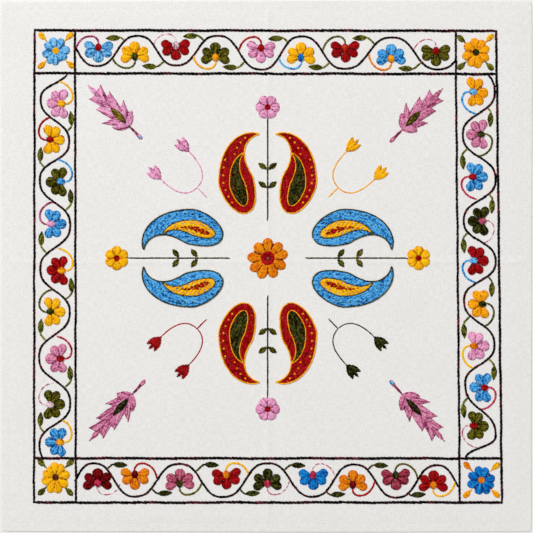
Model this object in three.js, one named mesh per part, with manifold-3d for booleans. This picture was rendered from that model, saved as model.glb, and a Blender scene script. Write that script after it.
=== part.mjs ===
// An embroidered square cloth (rumal), laid flat: white cotton with a narrow turned hem, faint ironed-in
// folds, and silk embroidery that stands a little proud of the cloth. A border band runs between two
// stitched lines, with a flowering vine on each side and a rosette in each corner. The field holds a
// daisy in the middle, four pairs of paisleys, four flower sprays and four feathery sprigs.
// Millimetres. +X is to the right of the cloth and +Y to its top, +Z is up, and the origin lies at the
// middle of the underside. The whole cloth is one piece, because its hem and stitches belong to it.
import * as THREE from 'three';
import { mergeVertices } from 'three/addons/utils/BufferGeometryUtils.js';
import Module from 'manifold-3d';

const wasm = await Module();
wasm.setup();

// The cloth
const CLOTH_SIDE = 457;
const HALF_SIDE = CLOTH_SIDE / 2;
const CLOTH_THICKNESS = 1.1;
const CORNER_SOFTNESS = 1.6;
const CORNER_SHARPNESS = 60;
const EDGE_WANDER = 0.4;
const WANDER_WAVE = 97;
const HEM_WIDTH = 5;
const HEM_RISE = 0.45;
const HEM_EDGE_DROP = 0.25;
const HEM_STEP = 0.8;
const PANEL_SPACING = 55;

// The ironed-in folds: a soft ridge that runs along "runs", at "at" on the other axis
const FOLD_HALF_WIDTH = 2.4;
const FOLDS = [
  { runs: 'y', at: 1.3, rise: 0.3 },
  { runs: 'x', at: 3.9, rise: 0.3 },
  { runs: 'y', at: -113, rise: 0.12 },
  { runs: 'y', at: 147, rise: 0.12 },
  { runs: 'x', at: 152, rise: 0.12 },
];

// How far the embroidery stands over the cloth, and how deep its solids root in it
const THREAD_RISE = 0.5;
const OVERLAY_RISE = 0.75;
const ROOT_DEPTH = 0.6;
const LINE_WIDTH = 2.1;
const VINE_WIDTH = 1.9;
const STEM_WIDTH = 1.6;
const SMALLEST_FEATURE = 0.02;

// The border's eight stitched lines, which cross at the corner squares. The frame is a little out of
// square, so each line has its own two ends.
const BORDER_LINES = [
  { from: [-200.8, 203.4], to: [198.8, 203.0] },
  { from: [-200.8, 166.4], to: [199.2, 165.8] },
  { from: [-201.2, -165.1], to: [203.4, -165.3] },
  { from: [-201.2, -203.3], to: [203.8, -203.2] },
  { from: [-200.2, -204.3], to: [-199.8, 204.4] },
  { from: [-164.2, -204.3], to: [-164.9, 204.4] },
  { from: [166.5, -204.2], to: [162.8, 204.1] },
  { from: [202.8, -204.2], to: [197.8, 204.1] },
];

// The vine: a wave whose bends alternate from side to side, rounder than a sine
const VINE_SWING = 13.4;
const VINE_ROUNDNESS = 1.3;
const VINE_STEPS = 5;

// Each side of the border. The pattern runs along u with w to its left, turned by "turn" and placed with
// u = 0 at "middle"; "lean" is how far w drifts over 100 mm. The vine starts at startU and ends at endU,
// and leadIn and leadOut are the lengths of its half waves there. bend is the place of each of its bends
// and flower that of the flower inside it.
const SIDES = [
  {
    turn: 0,
    middle: [0, 184.8],
    lean: -0.75,
    startU: -165,
    endU: 163,
    leadIn: 30,
    leadOut: 38,
    bends: [-146.9, -110.6, -78.1, -41.8, -4.7, 30.2, 67.1, 108.3, 147.8],
    flowers: [-144.9, -113.9, -79, -45.1, -5.3, 28.9, 67.5, 106, 145],
  },
  {
    turn: -90,
    middle: [-182.5, 0],
    lean: 0,
    startU: -167,
    endU: 164.6,
    leadIn: 23.5,
    leadOut: 36,
    bends: [-144.1, -107.2, -74.6, -35.2, 2.2, 39.8, 78, 118, 154.4],
    flowers: [-141.4, -109.5, -74.2, -37.2, 2.8, 38.6, 77.8, 118.1, 150.7],
  },
  {
    turn: 180,
    middle: [0, -184.2],
    lean: 0.2,
    startU: -165.6,
    endU: 165,
    leadIn: 28.8,
    leadOut: 34,
    bends: [-147, -111.9, -75.5, -39.8, -1, 37.6, 75.2, 113.4, 149],
    flowers: [-143.2, -110.9, -73.7, -40, -0.6, 35.4, 75.2, 113.3, 145.5],
  },
  {
    turn: 90,
    middle: [183, 0],
    lean: 0.9,
    startU: -164.8,
    endU: 166,
    leadIn: 26.7,
    leadOut: 44,
    bends: [-140.9, -101.4, -67.6, -29.4, 4.4, 39.5, 75.2, 113.4, 150.3],
    flowers: [-137.4, -103.7, -67.6, -31.9, 5.5, 39.2, 77.7, 114.6, 150.7],
  },
];

// A vine flower: five petals that fan from its bud, which lies to one side of the flower's middle. The
// notches between the petals reach in to a share of their length.
const FLOWER_BUD_OFFSET = 3.6;
const FLOWER_BUD_HALF_WIDTH = 1.6;
const FLOWER_NOTCH = 0.62;
const FLOWER_SHOULDER = 0.96;
const FLOWER_PETALS = [
  { angle: 162, reach: 12.6, width: 7 },
  { angle: 206, reach: 13.2, width: 7 },
  { angle: 269, reach: 13.4, width: 8.8 },
  { angle: 331, reach: 13.2, width: 7 },
  { angle: 374, reach: 13.4, width: 7 },
];
const LEAF = { from: [8.2, 11], to: [18.9, 13.7], width: 4.2 };

// The corner rosettes: round flowers with four leaves between the petals and the corners of their squares
const CORNERS = [
  { at: [-181.4, 185.3], petals: 8, radius: 11.9, heart: 3.4 },
  { at: [180.5, 184.6], petals: 9, radius: 11.9, heart: 3.4 },
  { at: [-181.6, -181.8], petals: 9, radius: 11.9, heart: 3.4 },
  { at: [184.7, -184.2], petals: 8, radius: 11.9, heart: 3.4 },
];
const CORNER_LEAF_REACH = [11.2, 21.6];
const CORNER_LEAF_WIDTH = 4;

// The petals of a face-on flower, as shares of its radius and of the angle between two petals
const ROSETTE_NOTCH = 0.66;
const ROSETTE_SHOULDER = 0.24;
const HEART_SIDES = 8;

// Where a pointed oval is widest, as shares of its length
const LENS_SHOULDERS = [0.3, 0.7];

// The daisy at the middle of the field
const DAISY = { at: [1, 7.2], petals: 9, radius: 17.7, heart: 6 };

// The feathery sprigs toward the field's corners, by their outer tip, the way that they run from it and
// their size. A sprig is drawn along its axis from the tip, with swept barbs between notches, and ends in
// a stalk.
const SPRIGS = [
  { tip: [-154.2, 156.5], turn: -44.8, size: 1 },
  { tip: [152.1, 153.6], turn: -134.5, size: 0.98 },
  { tip: [-153, -150.7], turn: 47.4, size: 1.08 },
  { tip: [153.8, -151], turn: 132, size: 1.07 },
];
const SPRIG_LENGTH = 51;
const SPRIG_BARBS = [
  { notchAt: 11, notch: 2.1, tipAt: 9, reach: 6.9 },
  { notchAt: 19.9, notch: 3.8, tipAt: 19.6, reach: 8.7 },
  { notchAt: 30.6, notch: 6.2, tipAt: 31.2, reach: 12 },
  { notchAt: 39, notch: 8.2, tipAt: 41, reach: 10.2 },
];
const SPRIG_SHOULDER = { at: 47.5, reach: 7.8 };
const SPRIG_STALK = { from: 46, to: 66, width: 3.2 };
const SPRIG_LENS = { from: 28.7, to: 46.6, width: 4.4 };

// The four pairs of paisleys around the daisy. A paisley is a drop whose spine bends more and more toward
// its tip, by "bend" degrees in all. foot is the round end's place, sideways and outward from the daisy's
// middle, and round is the share of the spine over which the foot widens.
const PAISLEY_TURNS = [0, 90, 180, 270];
const PAISLEY = { foot: [17, 39], lean: 67, length: 83, width: 30, bend: 122, round: 0.36, taper: 1 };
const PAISLEY_CORE = { foot: [19.5, 45], lean: 68, length: 50, width: 13.5, bend: 80, round: 0.38, taper: 1 };
const PAISLEY_STEPS = 11;
const PAISLEY_STEP_GROWTH = 1.3;
const PAISLEY_BEND_GROWTH = 2.6;

// The plant that stands between two paisleys, and the spray on each diagonal
const PLANT = {
  foot: 32,
  top: 121,
  flower: 130,
  petals: 6,
  radius: 10,
  leafReach: 8,
  leafLift: 6,
  leafWidth: 4.4,
};
const PLANT_LEAVES = [60, 76];
const SPRAY = { foot: 74, fork: 86, reach: 113, spread: 17, bow: 17, budLength: 15, budWidth: 10 };
const SPRAY_TURNS = [45, 135, 225, 315];

const CLOTH_COLOUR = '#f1efec';

const radians = THREE.MathUtils.degToRad;

function polar(angle, distance) {
  return new THREE.Vector2(Math.cos(angle) * distance, Math.sin(angle) * distance);
}

// Points turned by an angle in degrees about the origin, then moved to a place
function placed(points, turn, place) {
  const centre = new THREE.Vector2();
  return points.map((point) => point.clone().rotateAround(centre, radians(turn)).add(place));
}

function mirrored(points) {
  return points.map((point) => new THREE.Vector2(-point.x, point.y));
}

function merged(geometry) {
  const bare = geometry.clone();
  bare.deleteAttribute('normal');
  bare.deleteAttribute('uv');
  return mergeVertices(bare, 1e-4);
}

function toSolid(geometry) {
  const shell = merged(geometry);
  return new wasm.Manifold(new wasm.Mesh({
    numProp: 3,
    vertProperties: new Float32Array(shell.attributes.position.array),
    triVerts: new Uint32Array(shell.index.array),
  }));
}

// An upright solid over an outline, rooted in the cloth and standing "rise" over it
function raised(outline, rise) {
  const settings = { depth: ROOT_DEPTH + rise, bevelEnabled: false };
  const geometry = new THREE.ExtrudeGeometry(new THREE.Shape(outline), settings);
  geometry.translate(0, 0, CLOTH_THICKNESS - ROOT_DEPTH);
  return toSolid(geometry);
}

// The outline of a ribbon of even width along a path
function ribbon(path, width) {
  const left = [];
  const right = [];
  path.forEach((point, index) => {
    const before = path[Math.max(index - 1, 0)];
    const after = path[Math.min(index + 1, path.length - 1)];
    const along = after.clone().sub(before).normalize();
    const across = new THREE.Vector2(-along.y, along.x).multiplyScalar(width / 2);
    left.push(point.clone().add(across));
    right.push(point.clone().sub(across));
  });
  return [...right, ...left.reverse()];
}

// A pointed oval from one point to another
function lens(from, to, width) {
  const along = to.clone().sub(from);
  const across = new THREE.Vector2(-along.y, along.x).normalize();
  const side = (sign) => LENS_SHOULDERS.map((share) => from.clone()
    .addScaledVector(along, share)
    .addScaledVector(across, sign * (width / 2)));
  return [from.clone(), ...side(-1), to.clone(), ...side(1).reverse()];
}

// A flower seen face on: each petal has two shoulders, with a notch between neighbours
function rosette(petals, radius) {
  const outline = [];
  for (let petal = 0; petal < petals; petal += 1) {
    const angle = (petal / petals) * 2 * Math.PI;
    const spacing = (2 * Math.PI) / petals;
    outline.push(polar(angle - spacing / 2, radius * ROSETTE_NOTCH));
    outline.push(polar(angle - spacing * ROSETTE_SHOULDER, radius));
    outline.push(polar(angle + spacing * ROSETTE_SHOULDER, radius));
  }
  return outline;
}

function disc(radius, sides) {
  const outline = [];
  for (let side = 0; side < sides; side += 1) {
    outline.push(polar((side / sides) * 2 * Math.PI, radius));
  }
  return outline;
}

// The profile across the hem, from its outer edge inward, as height over the cloth
function hemHeight(distanceFromEdge) {
  const knots = [
    { at: 0, height: HEM_RISE - HEM_EDGE_DROP },
    { at: HEM_STEP, height: HEM_RISE },
    { at: HEM_WIDTH, height: HEM_RISE },
    { at: HEM_WIDTH + HEM_STEP, height: 0 },
  ];
  for (let index = 1; index < knots.length; index += 1) {
    const start = knots[index - 1];
    const end = knots[index];
    if (distanceFromEdge <= end.at + 1e-6) {
      const share = (distanceFromEdge - start.at) / (end.at - start.at);
      return THREE.MathUtils.lerp(start.height, end.height, share);
    }
  }
  return 0;
}

function foldHeight(x, y) {
  return FOLDS.reduce((height, fold) => {
    const distance = Math.abs((fold.runs === 'y' ? x : y) - fold.at);
    return height + fold.rise * Math.max(0, 1 - distance / FOLD_HALF_WIDTH);
  }, 0);
}

// The places of the grid's lines along one axis: close together at the hem and the folds
function gridLines(runs) {
  const lines = [HALF_SIDE, HALF_SIDE - HEM_STEP, HALF_SIDE - HEM_WIDTH, HALF_SIDE - HEM_WIDTH - HEM_STEP]
    .flatMap((place) => [place, -place]);
  FOLDS.filter((fold) => fold.runs === runs).forEach((fold) => {
    lines.push(fold.at - FOLD_HALF_WIDTH, fold.at, fold.at + FOLD_HALF_WIDTH);
  });
  for (let place = PANEL_SPACING; place < HALF_SIDE - 2 * HEM_WIDTH; place += PANEL_SPACING) {
    lines.push(place, -place);
  }
  return lines.sort((a, b) => a - b);
}

// The cloth: a closed slab over a grid, flat below, with its hem and folds above. Its edges wander a
// little and its corners are drawn in.
function clothSlab() {
  const xs = gridLines('y');
  const ys = gridLines('x');
  const wander = (along) => EDGE_WANDER * Math.sin(along / WANDER_WAVE) ** 3;
  const positions = [];
  const index = [];
  ys.forEach((y) => xs.forEach((x) => {
    const corner = (Math.abs(x * y) / HALF_SIDE ** 2) ** CORNER_SHARPNESS * CORNER_SOFTNESS;
    const placeX = x - Math.sign(x) * corner + wander(y) * (x / HALF_SIDE) ** 3;
    const placeY = y - Math.sign(y) * corner + wander(x + WANDER_WAVE) * (y / HALF_SIDE) ** 3;
    const edge = HALF_SIDE - Math.max(Math.abs(x), Math.abs(y));
    const top = CLOTH_THICKNESS + hemHeight(edge) + (edge > HEM_WIDTH ? foldHeight(x, y) : 0);
    positions.push(placeX, placeY, top);
  }));
  const columns = xs.length;
  const rows = ys.length;
  const quad = (a, b, c, d) => index.push(a, b, c, a, c, d);
  for (let row = 0; row < rows - 1; row += 1) {
    for (let column = 0; column < columns - 1; column += 1) {
      const corner = row * columns + column;
      quad(corner, corner + 1, corner + columns + 1, corner + columns);
    }
  }
  const rim = [];
  for (let column = 0; column < columns - 1; column += 1) rim.push(column);
  for (let row = 0; row < rows - 1; row += 1) rim.push(row * columns + columns - 1);
  for (let column = columns - 1; column > 0; column -= 1) rim.push((rows - 1) * columns + column);
  for (let row = rows - 1; row > 0; row -= 1) rim.push(row * columns);
  const foot = columns * rows;
  const loop = rim.map((top) => new THREE.Vector2(positions[top * 3], positions[top * 3 + 1]));
  loop.forEach((point) => positions.push(point.x, point.y, 0));
  rim.forEach((top, place) => {
    const next = (place + 1) % rim.length;
    quad(foot + place, foot + next, rim[next], top);
  });
  const underside = THREE.ShapeUtils.triangulateShape(loop, []);
  underside.forEach(([a, b, c]) => index.push(foot + a, foot + c, foot + b));
  const geometry = new THREE.BufferGeometry();
  geometry.setAttribute('position', new THREE.Float32BufferAttribute(positions, 3));
  geometry.setIndex(index);
  return toSolid(geometry);
}

function borderLines() {
  return BORDER_LINES.map((line) => {
    const ends = [new THREE.Vector2(...line.from), new THREE.Vector2(...line.to)];
    return raised(ribbon(ends, LINE_WIDTH), THREAD_RISE);
  });
}

// The vine of one side: between two bends it swings across with the shape sin(k cos t) / sin k
function vinePath(side) {
  const stations = [side.bends[0] - side.leadIn, ...side.bends, side.bends.at(-1) + side.leadOut];
  const path = [];
  stations.slice(0, -1).forEach((start, index) => {
    const end = stations[index + 1];
    const swing = index % 2 === 0 ? VINE_SWING : -VINE_SWING;
    const first = Math.max((side.startU - start) / (end - start), 0);
    const last = Math.min((side.endU - start) / (end - start), 1);
    for (let step = 0; step < VINE_STEPS; step += 1) {
      const share = THREE.MathUtils.lerp(first, last, step / VINE_STEPS);
      const across = Math.sin(VINE_ROUNDNESS * Math.cos(Math.PI * share)) / Math.sin(VINE_ROUNDNESS);
      path.push(new THREE.Vector2(THREE.MathUtils.lerp(start, end, share), swing * across));
    }
  });
  const last = path.at(-1);
  path.push(last.clone().add(last.clone().sub(path.at(-2)).setLength(side.endU - last.x)));
  return path;
}

// One vine flower's petals around its bud, as one outline that starts and ends at the bud
function fanOutline() {
  const brim = FLOWER_BUD_HALF_WIDTH;
  const outline = [new THREE.Vector2(brim, brim), new THREE.Vector2(-brim, brim)];
  FLOWER_PETALS.forEach((petal, index) => {
    const angle = radians(petal.angle);
    const shoulder = Math.atan2(petal.width / 2, petal.reach * FLOWER_SHOULDER);
    outline.push(polar(angle - shoulder, petal.reach * FLOWER_SHOULDER));
    outline.push(polar(angle + shoulder, petal.reach * FLOWER_SHOULDER));
    if (index < FLOWER_PETALS.length - 1) {
      const between = radians((petal.angle + FLOWER_PETALS[index + 1].angle) / 2);
      outline.push(polar(between, petal.reach * FLOWER_NOTCH));
    }
  });
  return outline;
}

// The border pattern of one side, as outlines with their rises
function sidePattern(side) {
  const place = new THREE.Vector2(...side.middle);
  const leaning = (points) => points.map((point) => new THREE.Vector2(
    point.x,
    point.y + (side.lean * point.x) / 100,
  ));
  const add = (points, rise) => raised(placed(leaning(points), side.turn, place), rise);
  const solids = [add(ribbon(vinePath(side), VINE_WIDTH), THREAD_RISE)];
  const bud = new THREE.Vector2(0, FLOWER_BUD_OFFSET);
  side.flowers.forEach((u, index) => {
    const flip = index % 2 === 0 ? 1 : -1;
    const at = (points) => points.map((point) => new THREE.Vector2(u + point.x, flip * point.y));
    const closed = (points) => (flip > 0 ? points : points.reverse());
    const fan = fanOutline().map((point) => point.add(bud));
    const leaf = lens(new THREE.Vector2(...LEAF.from), new THREE.Vector2(...LEAF.to), LEAF.width);
    solids.push(add(closed(at(fan)), THREAD_RISE));
    if (index < side.flowers.length - 1) {
      solids.push(add(closed(at(leaf)), THREAD_RISE));
    }
  });
  return solids;
}

function faceOnFlower(flower) {
  const place = new THREE.Vector2(...flower.at);
  return [
    raised(placed(rosette(flower.petals, flower.radius), 90, place), THREAD_RISE),
    raised(placed(disc(flower.heart, HEART_SIDES), 0, place), OVERLAY_RISE),
  ];
}

function cornerSquare(corner) {
  const place = new THREE.Vector2(...corner.at);
  const leaf = lens(
    new THREE.Vector2(CORNER_LEAF_REACH[0], 0),
    new THREE.Vector2(CORNER_LEAF_REACH[1], 0),
    CORNER_LEAF_WIDTH,
  );
  const leaves = SPRAY_TURNS.map((turn) => raised(placed(leaf, turn, place), THREAD_RISE));
  return [...faceOnFlower(corner), ...leaves];
}

// A feathery sprig: its outline steps in to each notch and out to the barb's tip, on both sides of a
// straight axis, and rounds off behind the last barb
function sprig(row) {
  const tip = new THREE.Vector2(...row.tip);
  const onAxis = (distance) => new THREE.Vector2(distance, 0);
  const sized = (points) => points.map((point) => point.multiplyScalar(row.size));
  const side = (sign) => [
    ...SPRIG_BARBS.flatMap((barb) => [
      new THREE.Vector2(barb.notchAt, sign * barb.notch),
      new THREE.Vector2(barb.tipAt, sign * barb.reach),
    ]),
    new THREE.Vector2(SPRIG_SHOULDER.at, sign * SPRIG_SHOULDER.reach),
  ];
  const outline = [onAxis(0), ...side(-1), onAxis(SPRIG_LENGTH), ...side(1).reverse()];
  const stalk = ribbon([onAxis(SPRIG_STALK.from), onAxis(SPRIG_STALK.to)], SPRIG_STALK.width);
  const heart = lens(onAxis(SPRIG_LENS.from), onAxis(SPRIG_LENS.to), SPRIG_LENS.width);
  return [
    raised(placed(sized(outline), row.turn, tip), THREAD_RISE),
    raised(placed(sized(stalk), row.turn, tip), THREAD_RISE),
    raised(placed(sized(heart), row.turn, tip), OVERLAY_RISE),
  ];
}

// The outline of a paisley: a half width along a spine that bends faster toward its tip. The stations
// lie closest at the foot, where the outline is round.
function paisleyOutline(drop) {
  const left = [];
  const right = [];
  const spine = new THREE.Vector2(...drop.foot);
  let share = 0;
  for (let index = 0; index <= PAISLEY_STEPS; index += 1) {
    const heading = radians(drop.lean + drop.bend * share ** PAISLEY_BEND_GROWTH);
    const belly = Math.sqrt(1 - (1 - Math.min(share / drop.round, 1)) ** 2);
    const thinning = 1 - (Math.max(share - drop.round, 0) / (1 - drop.round)) ** drop.taper;
    const half = (drop.width / 2) * belly * thinning;
    const across = polar(heading + Math.PI / 2, half);
    if (index > 0 && index < PAISLEY_STEPS) {
      left.push(spine.clone().add(across));
    }
    right.push(spine.clone().sub(across));
    const next = ((index + 1) / PAISLEY_STEPS) ** PAISLEY_STEP_GROWTH;
    const nextHeading = radians(drop.lean + drop.bend * next ** PAISLEY_BEND_GROWTH);
    spine.add(polar((heading + nextHeading) / 2, drop.length * (next - share)));
    share = next;
  }
  return [...right, ...left.reverse()];
}

function paisleyPair(turn) {
  const middle = new THREE.Vector2(...DAISY.at);
  return [
    { drop: PAISLEY, rise: THREAD_RISE },
    { drop: PAISLEY_CORE, rise: OVERLAY_RISE },
  ].flatMap(({ drop, rise }) => {
    const outline = paisleyOutline(drop);
    return [
      raised(placed(outline, turn, middle), rise),
      raised(placed(mirrored(outline).reverse(), turn, middle), rise),
    ];
  });
}

function plant(turn) {
  const middle = new THREE.Vector2(...DAISY.at);
  const stem = ribbon([new THREE.Vector2(0, PLANT.foot), new THREE.Vector2(0, PLANT.top)], STEM_WIDTH);
  const flower = placed(rosette(PLANT.petals, PLANT.radius), 0, new THREE.Vector2(0, PLANT.flower));
  const leaves = PLANT_LEAVES.flatMap((height) => [-1, 1].map((side) => lens(
    new THREE.Vector2(0, height),
    new THREE.Vector2(side * PLANT.leafReach, height + PLANT.leafLift),
    PLANT.leafWidth,
  )));
  return [stem, flower, ...leaves].map((outline) => raised(placed(outline, turn, middle), THREAD_RISE));
}

// A spray: one stalk that forks into two bowed stems, each with a bud at its end. Each piece starts a
// little inside the one before, so that they are one.
function spray(turn) {
  const middle = new THREE.Vector2(...DAISY.at);
  const foot = new THREE.Vector2(SPRAY.foot, 0);
  const fork = new THREE.Vector2(SPRAY.fork, 0);
  const forkEnd = new THREE.Vector2(SPRAY.fork + STEM_WIDTH, 0);
  const solids = [ribbon([foot, forkEnd], STEM_WIDTH)];
  [-1, 1].forEach((side) => {
    const end = new THREE.Vector2(SPRAY.reach, side * SPRAY.spread);
    const bow = new THREE.Vector2(SPRAY.fork, side * SPRAY.bow);
    const stem = new THREE.QuadraticBezierCurve(fork, bow, end).getPoints(4);
    const budFoot = end.clone().sub(new THREE.Vector2(STEM_WIDTH, 0));
    const budTip = end.clone().add(new THREE.Vector2(SPRAY.budLength, 0));
    solids.push(ribbon(stem, STEM_WIDTH), lens(budFoot, budTip, SPRAY.budWidth));
  });
  return solids.map((outline) => raised(placed(outline, turn, middle), THREAD_RISE));
}

function embroidery() {
  return [
    ...borderLines(),
    ...SIDES.flatMap(sidePattern),
    ...CORNERS.flatMap(cornerSquare),
    ...faceOnFlower(DAISY),
    ...SPRIGS.flatMap(sprig),
    ...PAISLEY_TURNS.flatMap(paisleyPair),
    ...PAISLEY_TURNS.flatMap(plant),
    ...SPRAY_TURNS.flatMap(spray),
  ];
}

function toGeometry(solid) {
  const mesh = solid.getMesh();
  const geometry = new THREE.BufferGeometry();
  geometry.setAttribute('position', new THREE.BufferAttribute(new Float32Array(mesh.vertProperties), 3));
  geometry.setIndex(new THREE.BufferAttribute(new Uint32Array(mesh.triVerts), 1));
  const faceted = geometry.toNonIndexed();
  faceted.computeVertexNormals();
  return faceted;
}

function cloth() {
  const solid = wasm.Manifold.union([clothSlab(), ...embroidery()]).simplify(SMALLEST_FEATURE);
  const material = new THREE.MeshStandardMaterial({ color: CLOTH_COLOUR, roughness: 0.9, metalness: 0 });
  const mesh = new THREE.Mesh(toGeometry(solid), material);
  mesh.name = 'cloth';
  return mesh;
}

const rumal = new THREE.Group();
rumal.add(cloth());

export default rumal;
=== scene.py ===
"""Looks for an embroidered chamba rumal: a square of white cotton with silk embroidery, laid flat.

The patterns are drawn in millimetres in the cloth's own frame: the origin lies under the middle of the cloth,
+X is to its right, +Y to its top and +Z up. The meshes are made in metres. Every stitch is a short strand of
silk that rises out of the cloth, lies on it and dives back in, and that shows on the underside too, as in
work that is sewn alike on both faces.
"""

import logging
from collections.abc import Callable
from dataclasses import dataclass, field
from enum import Enum
from typing import ClassVar

import bpy
import numpy as np
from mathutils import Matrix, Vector


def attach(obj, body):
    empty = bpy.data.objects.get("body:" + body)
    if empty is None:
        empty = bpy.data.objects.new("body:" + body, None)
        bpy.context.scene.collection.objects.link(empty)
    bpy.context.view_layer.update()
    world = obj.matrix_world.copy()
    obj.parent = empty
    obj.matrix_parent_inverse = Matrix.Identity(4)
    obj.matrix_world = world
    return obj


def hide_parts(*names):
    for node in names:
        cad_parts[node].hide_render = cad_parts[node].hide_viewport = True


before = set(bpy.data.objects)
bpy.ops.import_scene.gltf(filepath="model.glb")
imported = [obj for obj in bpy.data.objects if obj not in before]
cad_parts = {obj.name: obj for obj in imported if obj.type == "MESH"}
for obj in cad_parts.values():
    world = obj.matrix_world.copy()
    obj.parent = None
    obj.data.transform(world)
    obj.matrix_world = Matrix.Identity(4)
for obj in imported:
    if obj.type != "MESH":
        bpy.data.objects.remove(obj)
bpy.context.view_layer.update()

Array = np.ndarray
Node = bpy.types.Node
Object = bpy.types.Object
Place = tuple[float, float]
Colour = tuple[int, int, int]
Rows = tuple[tuple[float, ...], ...]
Warp = Callable[[Array], Array]
Pad = Callable[[Array], tuple[Array, Array]]

MM = 0.001
# The period of the wave texture at scale 1, in metres: two pi over 20.
WAVE_PERIOD = 0.314
BODY = "root"
CLOTH_NODE = "cloth"
LOG = logging.getLogger("rumal")


class Silk(Enum):
    """The silks of the work, each by its colour in sRGB from 0 to 255."""

    BLACK = (9, 3, 4)
    MAROON = (62, 6, 12)
    BROWN = (92, 40, 12)
    RED = (160, 1, 3)
    DARK_RED = (104, 1, 3)
    ORANGE_RED = (198, 44, 8)
    ROSE = (186, 30, 66)
    MAUVE = (156, 42, 64)
    DUSTY_PINK = (190, 82, 112)
    ROSE_PINK = (218, 128, 166)
    PINK = (236, 158, 199)
    DEEP_PINK = (166, 64, 112)
    PALE_PINK = (238, 206, 216)
    ORANGE = (235, 127, 1)
    GOLD = (255, 171, 1)
    YELLOW = (255, 187, 1)
    SKY_BLUE = (102, 184, 238)
    LIGHT_BLUE = (60, 158, 227)
    BLUE = (3, 116, 202)
    OLIVE = (77, 72, 5)
    FERN = (100, 100, 12)
    MOSS = (120, 106, 6)
    GREEN = (43, 44, 5)
    DARK_GREEN = (36, 40, 7)

    def liveliness(self) -> float:
        """Tell how strongly the silk's tone swings, in its random unevenness and between painted shade and
        painted sheen:
        most where it is pale and cool, least where it is warm.

        Returns:
            The swing, as a share of the usual one.
        """
        red, green, blue = self.value
        if red < 50 or red > 200 and blue > 100:
            return 1.1
        if blue > 160:
            return 1.6
        return 0.75 if green > 120 else 1.0


def linear(colour: Colour) -> tuple[float, float, float, float]:
    """Turn an sRGB colour into the linear colour that shaders take.

    Args:
        colour: Red, green and blue from 0 to 255.

    Returns:
        Red, green, blue and an alpha of 1, linear. The curve is sRGB's: c / 12.92 near black and
        ((c + 0.055) / 1.055) to the power 2.4 above.
    """
    share = np.array(colour, float) / 255
    curve = np.where(share <= 0.04045, share / 12.92, ((share + 0.055) / 1.055) ** 2.4)
    return (*curve.tolist(), 1.0)


@dataclass
class NodeTree:
    """A material's nodes, with short calls to add and join them."""

    material: bpy.types.Material

    def __post_init__(self) -> None:
        """Clear the tree and add the shader and the output."""
        self.material.use_nodes = True
        self.material.node_tree.nodes.clear()
        self.shader = self.add("BsdfPrincipled")
        output = self.add("OutputMaterial")
        self.join(self.shader, "BSDF", output, "Surface")

    def add(self, kind: str, **values: object) -> Node:
        """Add a node.

        Args:
            kind: The node's type without its ShaderNode prefix.
            **values: Properties of the node, such as its operation.

        Returns:
            The new node.
        """
        node = self.material.node_tree.nodes.new(f"ShaderNode{kind}")
        for name, value in values.items():
            setattr(node, name, value)
        return node

    def join(self, source: Node, output: str | int, target: Node, socket: str | int) -> None:
        """Link an output of one node to an input of another."""
        self.material.node_tree.links.new(source.outputs[output], target.inputs[socket])

    def mapped(self, source: Node, output: str, scale: tuple[float, float, float]) -> Node:
        """Add a Mapping node that stretches coordinates.

        Args:
            source: The node that gives the coordinates.
            output: Its output.
            scale: The stretch along each axis.

        Returns:
            The Mapping node.
        """
        mapping = self.add("Mapping")
        mapping.inputs["Scale"].default_value = scale
        self.join(source, output, mapping, "Vector")
        return mapping

    def noise(self, mapping: Node, scale: float, detail: float = 2.0) -> Node:
        """Add a Noise Texture.

        Args:
            mapping: The Mapping node that it lies on.
            scale: Its scale.
            detail: Its detail.

        Returns:
            The texture's node.
        """
        texture = self.add("TexNoise")
        texture.inputs["Scale"].default_value = scale
        texture.inputs["Detail"].default_value = detail
        self.join(mapping, "Vector", texture, "Vector")
        return texture

    def sum(self, parts: list[tuple[Node, str, float, float]], start: float) -> Node:
        """Add values that each swing about a middle.

        Args:
            parts: Rows of node, output, middle and weight.
            start: The value that the sum starts from.

        Returns:
            A node whose output is start plus weight times (value - middle) over the rows.
        """
        total = None
        for node, output, middle, weight in parts:
            term = self.add("Math", operation="MULTIPLY_ADD")
            self.join(node, output, term, 0)
            term.inputs[1].default_value = weight
            if total is None:
                term.inputs[2].default_value = start - weight * middle
            else:
                shifted = self.add("Math", operation="ADD")
                self.join(total, "Value", shifted, 0)
                shifted.inputs[1].default_value = -weight * middle
                self.join(shifted, "Value", term, 2)
            total = term
        return total

    def tint(self, colour: Colour, brightness: Node) -> None:
        """Give the shader a colour whose brightness varies.

        Args:
            colour: The colour in sRGB from 0 to 255.
            brightness: The node whose Value is the brightness, about 1.
        """
        tinted = self.add("HueSaturation")
        tinted.inputs["Color"].default_value = linear(colour)
        self.join(brightness, "Value", tinted, "Value")
        self.join(tinted, "Color", self.shader, "Base Color")

    def bump(self, height: Node, output: str, distance: float, strength: float = 0.6) -> None:
        """Raise the shader's surface by a height.

        Args:
            height: The node that gives the height.
            output: Its output.
            distance: How far a height of 1 reaches, in metres.
            strength: The bump's strength.
        """
        node = self.add("Bump")
        node.inputs["Distance"].default_value = distance
        node.inputs["Strength"].default_value = strength
        self.join(height, output, node, "Height")
        self.join(node, "Normal", self.shader, "Normal")


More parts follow.
